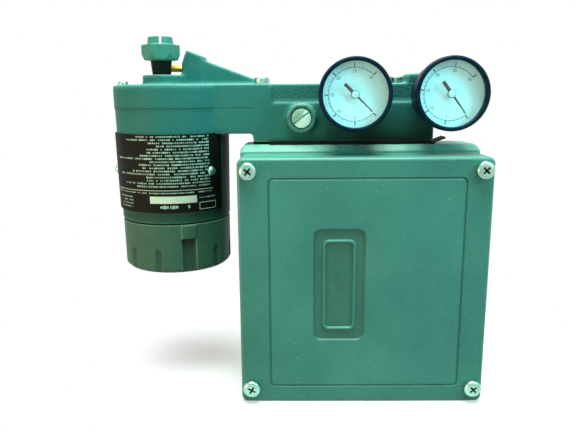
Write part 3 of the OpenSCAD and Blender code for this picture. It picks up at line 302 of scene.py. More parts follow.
def manifold_marks_and_shade(tree, place, colour, height):
    """Adds the parting line with its painted step shade, the coarse band, the darker lower can, and painted
    shade beside the case and under the gauges.
    """
    x, y, z = add(tree, "ShaderNodeSeparateXYZ", {0: place}).outputs
    # Painted shade: a dark line along the parting line stands for the shade under its small step.
    wavering = calc(tree, "SUBTRACT", z, calc(tree, "MULTIPLY", noise(tree, place, 60.0, 2.0), 0.0016))
    seam_shade = both(tree, window_mask(tree, wavering, *SEAM_Z, 0.0002), calc(tree, "LESS_THAN", x, SEAM_END_X),
                calc(tree, "LESS_THAN", y, SEAM_BACK_Y))
    coarse = both(tree, window_mask(tree, z, *BAND_Z, 0.0004), calc(tree, "GREATER_THAN", x, BAND_LEFT_X))
    pits = noise(tree, place, 700.0, 3.0)
    height = calc(tree, "ADD", height, both(tree, calc(tree, "MULTIPLY", pits, 9.0), coarse))
    dark_pits = both(tree, ramp(tree, pits, 0.42, 0.6, 0.12, 0.0), coarse)
    colour = blend_colours(tree, dark_pits, colour, srgb(22, 62, 56))
    # The can turns darker and more olive towards the bottom.
    colour = blend_colours(tree, ramp(tree, z, *CAN_FOOT_Z, 0.85, 0.0), colour, srgb(32, 72, 54))
    # Painted shadow of the gauges on the block's lower face.
    gauge_shadow = both(tree, ramp(tree, z, *GAUGE_SHADOW_Z, 0.96, 0.0), ramp(tree, x, *GAUGE_SHADOW_X))
    colour = blend_colours(tree, gauge_shadow, colour, srgb(4, 34, 22))
    # Painted shade on the can's side next to the case.
    inner = both(tree, ramp(tree, x, *CASE_SHADE_X, 0.0, 0.85), calc(tree, "LESS_THAN", z, ARM_LOW_Z),
                 calc(tree, "LESS_THAN", x, CASE_SHADE_END_X))
    colour = blend_colours(tree, inner, colour, srgb(6, 26, 18))
    return blend_colours(tree, calc(tree, "MULTIPLY", seam_shade, 0.6), colour, srgb(26, 66, 60)), height


# A low chip threshold bares more of the proud edges, so the can's rim shows a pale line: partly wear, partly
# a painted rim highlight.
manifold_paint = casting_coat("manifold_paint", srgb(48, 122, 115), srgb(38, 106, 98), rough=(0.48, 0.62),
                              shine=0.12, chip=0.42, marks=manifold_marks_and_shade)
print("coat:", manifold_paint.name)

# %% [markdown]
# The cap is gripped by its flutes and by a tool in its slot. Both get painted shade,
# darkest at their tops. They lie deeper than the round side, so the distance from the
# can's axis tells where they are.

# %% Paint on the cap
CAN_X, CAN_Y = -121.0, -14.0
FLUTE_FLOOR, CAP_SIDE, FLUTE_TOP_Z = 33.6, 35.1, (0.014, 0.021)


def cap_painted_shade(tree, place, colour, height):
    """Adds painted shade in the flutes and the slot, darkest at their tops."""
    centred = add(tree, "ShaderNodeMapping", {"Vector": place, "Location": (-CAN_X * MM, -CAN_Y * MM, 0.0),
                                              "Scale": (1.0, 1.0, 0.0)})
    reach = add(tree, "ShaderNodeVectorMath", {0: centred.outputs[0]}, operation="LENGTH").outputs["Value"]
    # Painted shade in the flutes and the slot.
    deep = ramp(tree, reach, FLUTE_FLOOR * MM, CAP_SIDE * MM, 0.9, 0.0)
    colour = blend_colours(tree, calc(tree, "MULTIPLY", deep, 0.4), colour, srgb(14, 36, 24))
    z = add(tree, "ShaderNodeSeparateXYZ", {0: place}).outputs["Z"]
    # Painted shade, darkest at the tops of the flutes and the slot.
    top_shade = both(tree, deep, ramp(tree, z, *FLUTE_TOP_Z))
    return blend_colours(tree, top_shade, colour, srgb(5, 12, 8)), height


cap_paint = casting_coat("cap_paint", srgb(62, 106, 86), srgb(43, 82, 65), grain=0.08, rough=(0.45, 0.62),
                         shine=0.2, marks=cap_painted_shade)
print("coat:", cap_paint.name)

# %% [markdown]
# The other finishes are metals, rubber, enamel and plastic. A turned or drawn metal
# shows fine scratches in one direction, which a noise stretched by a Mapping node
# gives, and it dulls in patches. Rubber and mouldings are matt with a fine grain.

# %% Metals and dark finishes
def metal(name, bright, dull, rough=(0.2, 0.42), stretch=(40.0, 900.0, 900.0)):
    """Worked metal with fine scratches and duller patches."""
    made, tree, shader, place = start_material(name)
    cast = group_in(tree, grain_tree, {"Vector": place, "Grain Scale": 1200.0, "Patch Scale": 90.0})
    drawn = add(tree, "ShaderNodeMapping", {"Vector": place, "Scale": stretch}).outputs[0]
    colour = blend_colours(tree, cast.outputs["Tone"], dull, bright)
    set_skin(tree, shader, colour, cast.outputs["Tone"], rough, noise(tree, drawn, 1.0, 2.0), 0.02, 0.5)
    shader.inputs["Metallic"].default_value = 1.0
    return made


def dark_skin(name, light, dark, rough, grain_scale, grain, dust_and_sheen=0.1, shine=0.3):
    """Rubber, enamel or plastic: dark, with a fine grain, some dust and a painted sheen on what faces up."""
    made, tree, shader, place = start_material(name)
    cast = group_in(tree, grain_tree, {"Vector": place, "Grain Scale": grain_scale, "Patch Scale": 40.0})
    dust_sheen_mask = group_in(tree, dust_and_sheen_tree, {"Vector": place, "Amount": dust_and_sheen})
    colour = blend_colours(tree, cast.outputs["Tone"], dark, light)
    colour = blend_colours(tree, dust_sheen_mask.outputs["Mask"], colour, DUST_SHEEN_COLOUR)
    set_skin(tree, shader, colour, cast.outputs["Tone"], rough, cast.outputs["Height"], grain)
    shader.inputs["Specular IOR Level"].default_value = shine
    return made


FINISHES = {
    "casting_paint": case_paint,
    "zinc_plate": metal("zinc_plate", srgb(176, 224, 204), srgb(124, 168, 150)),
    "steel": metal("ground_steel", srgb(178, 184, 184), srgb(140, 146, 148)),
    "brass": metal("turned_brass", srgb(214, 178, 84), srgb(172, 134, 56)),
    "copper": metal("drawn_copper", srgb(206, 138, 96), srgb(164, 100, 66)),
    "rubber_black": dark_skin("gasket_rubber", srgb(15, 18, 18), srgb(8, 10, 10), (0.6, 0.8), 1500.0, 0.05,
                              dust_and_sheen=0.03, shine=0.15),
    "black_enamel": dark_skin("black_enamel", srgb(4, 38, 54), srgb(2, 26, 40), (0.3, 0.42), 400.0, 0.01,
                              shine=0.06),
    "plate_black": dark_skin("plate_black", srgb(12, 15, 9), srgb(6, 8, 4), (0.5, 0.65), 700.0, 0.01,
                             dust_and_sheen=0.0, shine=0.1),
    "pointer_black": dark_skin("pointer_black", srgb(22, 26, 30), srgb(14, 18, 20), (0.5, 0.62), 900.0, 0.01,
                               dust_and_sheen=0.0),
    "moulding": dark_skin("dark_moulding", srgb(46, 47, 50), srgb(34, 35, 37), (0.42, 0.58), 1400.0, 0.03),
}
dull_zinc = dark_skin("dull_zinc", srgb(96, 126, 114), srgb(62, 88, 78), (0.5, 0.7), 900.0, 0.02, dust_and_sheen=0.0)
# A dark finish for the recesses and slots of screws.
dark_recess_zinc = dark_skin("dark_recess_zinc", srgb(40, 62, 56), srgb(22, 38, 34), (0.5, 0.7), 900.0, 0.02, dust_and_sheen=0.0)
print("finishes:", sorted(FINISHES))

# %% [markdown]
# The dial is white enamel on tin, and the window before it is clear. Glass blocks
# the light that should reach the dial, because a renderer finds light through it
# only by chance, so for shadow rays the window is made transparent.

# %% Dial enamel, print and window
def printed_skin(name, light, dark, rough):
    """Smooth printed or enamelled skin with a slight stain."""
    made, tree, shader, place = start_material(name)
    cast = group_in(tree, grain_tree, {"Vector": place, "Grain Scale": 500.0, "Patch Scale": 60.0})
    tree.links.new(blend_colours(tree, cast.outputs["Tone"], dark, light), shader.inputs["Base Color"])
    shader.inputs["Roughness"].default_value = rough
    bump = add(tree, "ShaderNodeBump",
               {"Height": cast.outputs["Height"], "Strength": 0.4, "Distance": 0.01 * MM})
    tree.links.new(bump.outputs["Normal"], shader.inputs["Normal"])
    return made


FINISHES["dial_white"] = printed_skin("dial_enamel", srgb(180, 236, 238), srgb(166, 228, 232), 0.45)
dial_print = printed_skin("dial_print", srgb(52, 92, 100), srgb(36, 74, 82), 0.6)
plate_print = printed_skin("plate_print", srgb(172, 214, 198), srgb(112, 148, 128), 0.5)
plate_field = printed_skin("plate_field", srgb(196, 222, 198), srgb(176, 204, 180), 0.5)
plug_zinc = printed_skin("plug_zinc", srgb(190, 244, 228), srgb(166, 224, 208), 0.45)
hub_enamel = printed_skin("hub_enamel", srgb(150, 205, 208), srgb(128, 184, 188), 0.4)

window_glass, tree, shader, place = start_material("window_glass")
shader.inputs["Base Color"].default_value = srgb(240, 252, 252)
shader.inputs["Transmission Weight"].default_value = 1.0
shader.inputs["IOR"].default_value = 1.45
smears = noise(tree, place, 60.0, 4.0)
tree.links.new(ramp(tree, smears, 0.45, 0.8, 0.0, 0.12), shader.inputs["Roughness"])
clear = add(tree, "ShaderNodeBsdfTransparent")
ray = add(tree, "ShaderNodeLightPath")
through = add(tree, "ShaderNodeMixShader",
              {0: ray.outputs["Is Shadow Ray"], 1: shader.outputs[0], 2: clear.outputs[0]})
tree.links.new(through.outputs[0], tree.nodes["Material Output"].inputs["Surface"])
FINISHES["clear_window"] = window_glass
print("dial, print and window are ready")

# %% [markdown]
# Every solid starts with the finish that the record names for it. What is already
# the right shape, mostly the works inside the case and the can, keeps its solid.

# %% Dress every solid from the record
for part in frame["record"]["subparts"]:
    solid = nodes[part["node"]]
    for slot in solid.material_slots:
        slot.material = FINISHES[part["material_slot"]]

# %% [markdown]
# A finished piece is a plain mesh at the origin that rides on a body of the model
# and stands in for the solids it replaces. This helper does the bookkeeping.

# %% Helper that keeps a finished piece
def keep(name, mesh, body, slot, *replaced):
    """Puts a finished mesh on its body, in place of its solids."""
    mesh.name = name
    piece = bpy.data.objects.new(name, mesh)
    scene.collection.objects.link(piece)
    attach(piece, body)
    if replaced:
        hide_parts(*replaced)
    print(name, "has", len(mesh.polygons), "faces and rides on", body)
    return piece


def shade(mesh, degrees=35):
    """Smooth shading that stays sharp at corners."""
    mesh.polygons.foreach_set("use_smooth", np.ones(len(mesh.polygons), bool))
    mesh.set_sharp_from_angle(angle=math.radians(degrees))
    return mesh


# %% [markdown]
# Sand castings have no sharp edges: the sand rounds the outside corners and leaves
# a fillet inside. A Bevel would have to be chosen edge by edge on solids as busy as
# these. A voxel remesh followed by smoothing rounds all of them at once, as sand does.
# How far a point stands out from its neighbours is stored for the worn edges.

# %% Castings: rear case, manifold with can, cap and vent plug
EDGE_GAIN, EDGE_FLOOR = 6.0, 0.3
MERGE = 0.002 * MM


def read(items, field, width, kind=np.float32):
    """One field of all of a mesh's elements, as an array."""
    values = np.empty(len(items) * width, kind)
    items.foreach_get(field, values)
    return values.reshape(-1, width)


def mark_edges(mesh, voxel):
    """Stores how far each point stands out from its neighbours, 0 to 1."""
    points = read(mesh.vertices, "co", 3)
    normals = read(mesh.vertex_normals, "vector", 3)
    ends = read(mesh.edges, "vertices", 2, np.int32)
    total, count = np.zeros_like(points), np.zeros(len(points))
    for near, far in ((0, 1), (1, 0)):
        np.add.at(total, ends[:, near], points[ends[:, far]])
        np.add.at(count, ends[:, near], 1)
    away = ((points - total / np.maximum(count, 1)[:, None]) * normals).sum(1)
    edge = np.clip(away / (voxel * MM) * EDGE_GAIN - EDGE_FLOOR, 0, 1)
    mesh.attributes.new("edge", "FLOAT", "POINT").data.foreach_set("value", edge.astype(np.float32))


def evaluated(holder):
    """The plain mesh that an object's modifiers give; the object is removed."""
    mesh = bpy.data.meshes.new_from_object(holder.evaluated_get(bpy.context.evaluated_depsgraph_get()))
    holder.modifiers.clear()
    bpy.data.objects.remove(holder)
    return mesh


def cast_copy(node, voxel, rounds, paint):
    """Copy of a solid with its edges rounded, and the proud ones marked."""
    copy = nodes[node].data.copy()
    copy.materials.clear()
    merged = bmesh.new()
    merged.from_mesh(copy)
    bmesh.ops.remove_doubles(merged, verts=merged.verts, dist=MERGE)
    merged.to_mesh(copy)
    merged.free()
    blank = bpy.data.objects.new("blank", copy)
    scene.collection.objects.link(blank)
    remesh = blank.modifiers.new("sand_grains", "REMESH")
    remesh.mode = "VOXEL"
    remesh.voxel_size = voxel * MM
    rounding = blank.modifiers.new("sand_rounding", "SMOOTH")
    rounding.factor = 0.5
    rounding.iterations = rounds
    mesh = evaluated(blank)
    mesh.materials.append(paint)
    mesh.polygons.foreach_set("use_smooth", np.ones(len(mesh.polygons), bool))
    mark_edges(mesh, voxel)
    return mesh


keep("case_casting", cast_copy("base_casting", 1.2, 5, case_paint), "case", "casting_paint",
     "base_casting")
keep("manifold_casting", cast_copy("converter_housing", 1.05, 3, manifold_paint), "case", "casting_paint",
     "converter_housing")
keep("can_cap", cast_copy("converter_cap", 0.6, 2, cap_paint), "cap", "casting_paint", "converter_cap")
keep("vent_hexagon", cast_copy("vent_plug", 0.4, 2, vent_paint), "case", "casting_paint", "vent_plug")

# %% [markdown]
# The cover is the face of the positioner. It is a loft: rounded rectangles, each with
# the same number of points, joined one to the next from the hollow inside, round the
# front edge, over the groove and the panel and down into the pocket. Extra
# rectangles close to each rounded edge keep the flat faces flat when they are shaded.

# %% Front cover
COVER_LOW, COVER_HIGH = (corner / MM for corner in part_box("front_cover"))
COVER_W, COVER_H = COVER_HIGH.x - COVER_LOW.x, COVER_HIGH.z - COVER_LOW.z
FACE, RIM = COVER_LOW.y, COVER_HIGH.y
WALL, CORNER_R, EDGE_R = 3.5, 4.0, 1.8
# Width, height, corner radius and middle of each outline on the face
PANEL = (113.0, 127.5, 2.0, 1.25, -0.5)
POCKET = (30.5, 69.0, 4.5, -14.5, -0.5)
POCKET_RIM = (19.0, 55.5, 3.5, -14.5, -0.5)
# Insets from those outlines, each with its depth below the face
GROOVE = ((-1.7, 0), (-1.3, 0), (-1.05, 0.25), (-0.95, 0.8), (-0.15, 0.8), (0.05, 0.25))
PANEL_FLAT = ((0.3, 0), (0.7, 0))
POCKET_SIDE = ((-0.7, 0), (-0.3, 0.03), (0.05, 0.3), (0.5, 1.2), (0.8, 1.4), (1.2, 1.4))
RIM_RIDGE = ((-0.9, 1.4), (-0.5, 1.35), (-0.1, 0.5), (0.15, 0.15), (0.5, 0.05), (0.7, 0.05), (1.05, 0.15),
             (1.3, 0.5), (1.7, 1.35), (2.1, 1.4))


def rounded(outline, inset, y, steps=8):
    """Points of a rounded rectangle, moved inwards by inset, at depth y."""
    w, h, r, cx, cz = outline
    r = max(r - inset, 0.3)
    half_w, half_h = w / 2 - inset - r, h / 2 - inset - r
    points = []
    for quarter, (sx, sz) in enumerate(((1, 1), (-1, 1), (-1, -1), (1, -1))):
        for step in range(steps + 1):
            a = math.radians(90 * quarter + 90 * step / steps)
            x, z = cx + sx * half_w + r * math.cos(a), cz + sz * half_h + r * math.sin(a)
            points.append(Vector((x, y, z)) * MM)
    return points


def loft(bm, rings):
    """Joins rings of points into one closed skin; each ring names its material and its wear."""
    edge = bm.verts.layers.float.get("edge") or bm.verts.layers.float.new("edge")
    previous = None
    for points, paint, wear in rings:
        current = [bm.verts.new(point) for point in points]
        for vert in current:
            vert[edge] = wear
        if previous is None:
            bm.faces.new(current).material_index = paint
        else:
            for i in range(len(current)):
                j = (i + 1) % len(current)
                bm.faces.new((previous[i], previous[j], current[j], current[i])).material_index = paint
        previous = current
    bm.faces.new(previous).material_index = rings[-1][1]


BORDER, GRAIN, DEEP = 0, 1, 2
body = (COVER_W, COVER_H, CORNER_R, 0.0, 0.0)
hollow = (COVER_W - 2 * WALL, COVER_H - 2 * WALL, 0.6, 0.0, 0.0)
rings = [(rounded(hollow, 0, FACE + WALL), BORDER, 0), (rounded(hollow, 0, RIM), BORDER, 0),
         (rounded(body, 0.4, RIM), BORDER, 0), (rounded(body, 0, RIM - 0.4), BORDER, 0.3),
         (rounded(body, 0, FACE + EDGE_R + 0.4), BORDER, 0)]
for turn in range(0, 91, 15):
    a = math.radians(turn)
    rings.append((rounded(body, EDGE_R * (1 - math.cos(a)), FACE + EDGE_R * (1 - math.sin(a))), BORDER,
                  0.9 * math.sin(2 * a)))
rings.append((rounded(body, EDGE_R + 0.4, FACE), BORDER, 0))
for inset, depth in GROOVE:
    rings.append((rounded(PANEL, inset, FACE + depth), BORDER, 0.0))
for inset, depth in PANEL_FLAT:
    rings.append((rounded(PANEL, inset, FACE + depth), GRAIN, 0.0))
for inset, depth in POCKET_SIDE:
    rings.append((rounded(POCKET, inset, FACE + depth), DEEP if depth > 0.1 else GRAIN, 0.0))
for inset, depth in RIM_RIDGE:
    rings.append((rounded(POCKET_RIM, inset, FACE + depth), DEEP if depth > 0.6 else GRAIN, 0.0))
cover = bmesh.new()
loft(cover, rings)
print("the cover's loft has", len(rings), "rings")

# %% [markdown]
# Inside the cover four posts carry the captive screws. Each is a tube, lofted from
# circles in the same way and put into the same mesh, because they are one casting.

# %% Screw posts inside the cover
SCREWS_X, SCREWS_Z = (-67.5, 67.5), (-65.75, 68.5)
POST_R, POST_BORE = 6.4, 2.8


def circle(r, x, y, z, steps=32):
    """Points of a circle that faces along Y."""
    turns = [2 * math.pi * i / steps for i in range(steps)]
    return [Vector((x + r * math.cos(a), y, z + r * math.sin(a))) * MM for a in turns]


def tube(bm, x, z, r, bore, front, back):
    """A closed tube along Y."""
    corners = ((r, front), (r, back), (bore, back), (bore, front))
    made = [[bm.verts.new(point) for point in circle(reach, x, y, z)] for reach, y in corners]
    for k in range(4):
        here, there = made[k], made[(k + 1) % 4]
        for i in range(len(here)):
            j = (i + 1) % len(here)
            bm.faces.new((here[i], here[j], there[j], there[i]))


for x in SCREWS_X:
    for z in SCREWS_Z:
        tube(cover, x, z, POST_R, POST_BORE, FACE + WALL - 0.5, RIM)
bmesh.ops.recalc_face_normals(cover, faces=cover.faces)
cover_mesh = bpy.data.meshes.new("cover_skin")
cover.to_mesh(cover_mesh)
cover.free()
for paint in (border_paint, panel_paint, pocket_paint):
    cover_mesh.materials.append(paint)
keep("cover_skin", shade(cover_mesh, 40), "cover", "casting_paint", "front_cover")

# %% [markdown]
# Screws repeat, so Geometry Nodes make them. One tree turns a head from a straight
# path whose radius follows a curve, cuts its driver recess with a Boolean, and sets
# a copy on every point of a small mesh. Its sizes are named inputs. The result is
# taken off as a plain mesh, because instances and live trees don't travel.

# %% Geometry Nodes tree for screw heads
SPIN_LIMIT = 1.2


def screw_tree(name, recess, profile):
    """Builds a tree that puts one kind of screw head on every point."""
    tree, taken, given = open_group(
        name, "GeometryNodeTree",
        [("Points", "Geometry", None), ("Head Radius", "Float", 0.005), ("Head Height", "Float", 0.004),
         ("Recess Size", "Float", 0.006), ("Recess Width", "Float", 0.0015), ("Recess Depth", "Float", 0.002),
         ("Facing", "Vector", None), ("Spin Axis", "Vector", None), ("Seed", "Int", 3),
         ("Finish", "Material", None), ("Recess Finish", "Material", None)],
        [("Heads", "Geometry")])
    size = taken.outputs
    top = add(tree, "ShaderNodeCombineXYZ", {"Z": size["Head Height"]})
    path = add(tree, "GeometryNodeCurvePrimitiveLine", {"Start": (0, 0, 0), "End": top.outputs[0]})
    path = add(tree, "GeometryNodeResampleCurve", {"Curve": path.outputs[0], "Count": 18})
    along = add(tree, "GeometryNodeSplineParameter")
    swell = add(tree, "ShaderNodeFloatCurve", {"Value": along.outputs["Factor"]})
    curve = swell.mapping.curves[0]
    for place, share in profile[1:-1]:
        curve.points.new(place, share)
    curve.points[0].location, curve.points[-1].location = profile[0], profile[-1]
    for point in curve.points:
        point.handle_type = "VECTOR"
    swell.mapping.update()
    width = calc(tree, "MULTIPLY", swell.outputs[0], size["Head Radius"])
    round_one = add(tree, "GeometryNodeCurvePrimitiveCircle", {"Resolution": 40, "Radius": 1.0})
    head = add(tree, "GeometryNodeCurveToMesh", {"Curve": path.outputs[0], "Scale": width,
                                                 "Profile Curve": round_one.outputs[0], "Fill Caps": True})
    long, thin = size["Recess Size"], size["Recess Width"]
    deep = calc(tree, "MULTIPLY", size["Recess Depth"], 2.0)
    cutters = []
    if recess == "hexagon":
        cutters.append(add(tree, "GeometryNodeMeshCylinder", {"Vertices": 6, "Radius": long, "Depth": deep}))
    for x, y in {"cross": ((long, thin), (thin, long)), "slot": ((long, thin),)}.get(recess, ()):
        block = add(tree, "ShaderNodeCombineXYZ", {"X": x, "Y": y, "Z": deep})
        cutters.append(add(tree, "GeometryNodeMeshCube", {"Size": block.outputs[0]}))
    cut = add(tree, "GeometryNodeSetMaterial", {"Geometry": head.outputs[0], "Material": size["Finish"]})
    for cutter in cutters:
        lifted = add(tree, "GeometryNodeTransform",
                     {"Geometry": cutter.outputs[0], "Translation": top.outputs[0]})
        lifted = add(tree, "GeometryNodeSetMaterial",
                     {"Geometry": lifted.outputs[0], "Material": size["Recess Finish"]})
        cut = add(tree, "GeometryNodeMeshBoolean", {0: cut.outputs[0], 1: lifted.outputs[0]},
                  operation="DIFFERENCE")
    spin = add(tree, "FunctionNodeRandomValue", {2: -SPIN_LIMIT, 3: SPIN_LIMIT, "Seed": size["Seed"]},
               data_type="FLOAT")
    turn = add(tree, "ShaderNodeVectorMath", {0: size["Spin Axis"], "Scale": spin.outputs[1]},
               operation="SCALE")
    aim = add(tree, "ShaderNodeVectorMath", {0: size["Facing"], 1: turn.outputs[0]}, operation="ADD")
    row = add(tree, "GeometryNodeInstanceOnPoints", {"Points": size["Points"], "Instance": cut.outputs[0],
                                                     "Rotation": aim.outputs[0]})
    solid = add(tree, "GeometryNodeRealizeInstances", {"Geometry": row.outputs[0]})
    recess_faces = add(tree, "GeometryNodeMaterialSelection", {"Material": size["Recess Finish"]})
    inside = add(tree, "GeometryNodeSetMaterial",
                 {"Geometry": solid.outputs[0], "Selection": recess_faces.outputs[0],
                  "Material": size["Recess Finish"]})
    tree.links.new(inside.outputs[0], given.inputs["Heads"])
    return tree


def grow(name, points, tree, values):
    """Runs a Geometry Nodes tree on a few points and returns the plain mesh."""
    seed_mesh = bpy.data.meshes.new(name + "_points")
    seed_mesh.from_pydata([Vector(point) * MM for point in points], [], [])
    maker = bpy.data.objects.new(name + "_maker", seed_mesh)
    scene.collection.objects.link(maker)
    modifier = maker.modifiers.new("maker", "NODES")
    modifier.node_group = tree
    for item in tree.interface.items_tree:
        if item.item_type == "SOCKET" and item.in_out == "INPUT" and item.name in values:
            modifier[item.identifier] = values[item.name]
    return evaluated(maker)


PAN = ((0.0, 0.98), (0.08, 1.0), (0.52, 1.0), (0.72, 0.965), (0.86, 0.89), (0.95, 0.78), (1.0, 0.6))
CAP_HEAD = ((0.0, 1.0), (0.05, 1.0), (0.88, 1.0), (0.95, 0.97), (1.0, 0.9))
DOME = ((0.0, 1.0), (0.25, 0.97), (0.5, 0.87), (0.75, 0.66), (0.9, 0.44), (1.0, 0.15))
cross_screws = screw_tree("cross_screws", "cross", PAN)
socket_screws = screw_tree("socket_screws", "hexagon", CAP_HEAD)
slot_screws = screw_tree("slot_screws", "slot", PAN)
drive_screws = screw_tree("drive_screws", "none", DOME)
print("trees:", cross_screws.name, socket_screws.name, slot_screws.name, drive_screws.name)

# %% [markdown]
# Four captive screws hold the cover. Their shanks stay hidden in the posts, so a
# short plain tube stands for each, joined to the heads as one mesh on the cover.

# %% Cover screws
FRONT_FACING = (math.pi / 2, 0.0, 0.0)
SHANK_R, SHANK_BORE, SHANK_REACH = 2.5, 0.6, 12
heads = grow("cover_heads", [(x, FACE, z) for x in SCREWS_X for z in SCREWS_Z], cross_screws, {
    "Head Radius": 5.3 * MM, "Head Height": 4.6 * MM, "Recess Size": 5.0 * MM, "Recess Width": 1.3 * MM,
    "Recess Depth": 1.2 * MM, "Facing": FRONT_FACING, "Spin Axis": (0.0, 1.0, 0.0), "Seed": 4,
    "Finish": FINISHES["zinc_plate"], "Recess Finish": dull_zinc})
joined = bmesh.new()
joined.from_mesh(heads)
for x in SCREWS_X:
    for z in SCREWS_Z:
        tube(joined, x, z, SHANK_R, SHANK_BORE, FACE + 0.2, RIM + SHANK_REACH)
bmesh.ops.recalc_face_normals(joined, faces=joined.faces)
joined.to_mesh(heads)
joined.free()
keep("cover_heads", shade(heads), "cover", "zinc_plate", "cover_screws")

# %% [markdown]
# The gauges are turned parts. A lathe helper spins a closed outline of radius and
# depth about an axis, merges the seam and the poles, and sets the faces outwards.
# Two more helpers give a mesh its materials and join meshes into one.

# %% Helpers that turn, paint and join
def lathe(outline, at, axis="Y", steps=96):
    """Spins a closed outline of (radius, along) points about an axis through a place."""
    bm = bmesh.new()
    rows = []
    for i in range(steps):
        a = 2 * math.pi * i / steps
        row = []
        for r, along in outline:
            u, v = r * math.cos(a), r * math.sin(a)
            local = (u, along, v) if axis == "Y" else (u, v, along)
            row.append(bm.verts.new((Vector(local) + Vector(at)) * MM))
        rows.append(row)
    for i in range(steps):
        here, there = rows[i], rows[(i + 1) % steps]
        for k in range(len(outline)):
            m = (k + 1) % len(outline)
            if outline[k][0] == 0 and outline[m][0] == 0:
                continue
            bm.faces.new((here[k], here[m], there[m], there[k]))
    bmesh.ops.remove_doubles(bm, verts=bm.verts, dist=1e-7)
    bmesh.ops.recalc_face_normals(bm, faces=bm.faces)
    mesh = bpy.data.meshes.new("turned")
    bm.to_mesh(mesh)
    bm.free()
    return shade(mesh)


def painted(mesh, *finishes):
    """Gives a mesh its materials."""
    mesh.materials.clear()
    for finish in finishes:
        mesh.materials.append(finish)
    return mesh


def join(first, others):
    """Adds meshes to the first one, which keeps its materials."""
    whole = bmesh.new()
    for mesh in (first, *others):
        whole.from_mesh(mesh)
    whole.to_mesh(first)
    whole.free()
    return first


# %% [markdown]
# Four socket screws hold the manifold down on the case, and one small slotted screw
# sits near the can's rim. The heads come from the screw trees and the long shanks,
# which reach down into the case, from the lathe.

# %% Manifold and can screws
LOW_END, HIGH_END = (corner.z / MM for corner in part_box("block_screws"))
HEAD_H = 4.0
SCREW_SPOTS = [(x, y) for x in (-61.25, 23.0) for y in (-27.0, -8.0)]
heads = grow("manifold_heads", [(x, y, HIGH_END - HEAD_H) for x, y in SCREW_SPOTS], socket_screws, {
    "Head Radius": 4.4 * MM, "Head Height": HEAD_H * MM, "Recess Size": 2.6 * MM, "Recess Depth": 2.5 * MM,
    "Facing": (0.0, 0.0, 0.0), "Spin Axis": (0.0, 0.0, 1.0), "Seed": 7, "Finish": FINISHES["zinc_plate"],
    "Recess Finish": dark_recess_zinc})
SHANK_TOP = HIGH_END - HEAD_H - 0.1
SHANK = [(0.0, LOW_END), (2.6, LOW_END), (3.0, LOW_END + 0.6), (3.0, SHANK_TOP), (0.0, SHANK_TOP)]
shanks = [lathe(SHANK, (x, y, 0.0), axis="Z", steps=32) for x, y in SCREW_SPOTS]
keep("manifold_heads", shade(join(heads, shanks)), "case", "zinc_plate", "block_screws")
ground_low, ground_high = (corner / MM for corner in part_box("ground_screw"))
ground_at = ((ground_low.x + ground_high.x) / 2, (ground_low.y + ground_high.y) / 2, ground_low.z)
ground_head = grow("ground_head", [ground_at], slot_screws, {
    "Head Radius": 3.2 * MM, "Head Height": 2.2 * MM, "Recess Size": 7.0 * MM, "Recess Width": 0.8 * MM,
    "Recess Depth": 1.0 * MM, "Facing": (0.0, 0.0, 0.0), "Spin Axis": (0.0, 0.0, 1.0), "Seed": 2,
    "Finish": FINISHES["zinc_plate"], "Recess Finish": dark_recess_zinc})
keep("ground_head", shade(ground_head), "case", "zinc_plate", "ground_screw")

# %% [markdown]
# A slotted plug closes the supply filter. Its solid already has the right shape, so a
# merged copy is used. The faces of the slot are picked out by where they lie and get a
# dark finish.

# %% Port plug
SLOT_TURN, SLOT_W, SLOT_DEPTH = math.radians(35.7), 1.2, 1.1
plug_mesh = nodes["port_plug"].data.copy()
plug_low, plug_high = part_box("port_plug")
plug_middle = (plug_low + plug_high) / 2
merged = bmesh.new()
merged.from_mesh(plug_mesh)
bmesh.ops.remove_doubles(merged, verts=merged.verts, dist=MERGE)
slot_faces = 0
for face in merged.faces:
    away = face.calc_center_median() - plug_middle
    across = abs(away.z * math.cos(SLOT_TURN) - away.x * math.sin(SLOT_TURN))
    depth = face.calc_center_median().y - plug_low.y
    face.material_index = int(across < 0.52 * SLOT_W * MM and 0.05 * MM < depth < 1.1 * SLOT_DEPTH * MM)
    slot_faces += face.material_index
merged.to_mesh(plug_mesh)
merged.free()
keep("plug_head", painted(shade(plug_mesh), plug_zinc, dark_recess_zinc), "case", "zinc_plate", "port_plug")
print("dark faces in the slot:", slot_faces)

# %% [markdown]
# Each gauge is three turned pieces that sit one in the other: a black cup with a
# rolled back edge, a domed window on its rim, and the bezel that holds the window.

# %% Gauge bezels, bodies and windows
GAUGE_Z = 111.0
GAUGE_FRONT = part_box("gauge_bezel_left")[0].y / MM
# Each gauge's place along X and the angle of its zero
SIDES = {"left": (-5.6, -44.0), "right": (49.65, -53.0)}
BEZEL = [(18.75, 2.0), (18.75, 1.1), (18.85, 0.6), (19.1, 0.25), (19.5, 0.05), (20.0, 0.0), (20.45, 0.1),
         (20.85, 0.4), (21.1, 0.85), (21.22, 1.4), (21.25, 2.0), (21.25, 6.3), (21.15, 6.8), (20.95, 7.0),
         (20.8, 7.0), (20.8, 2.0)]
CUP = [(20.75, 3.5), (20.75, 9.0), (20.5, 10.2), (18.7, 28.0), (18.45, 29.2), (17.9, 29.9), (17.2, 30.0),
       (4.9, 30.0), (4.9, 27.6), (17.0, 27.6), (19.5, 9.0), (19.5, 3.5)]
RISE = 1.0
crown = [(18.5 * i / 12, 2.0 - RISE * (1 - (i / 12) ** 2)) for i in range(13)]
PANE = crown + [(20.65, 2.0), (20.65, 3.5), (0.0, 3.5)]
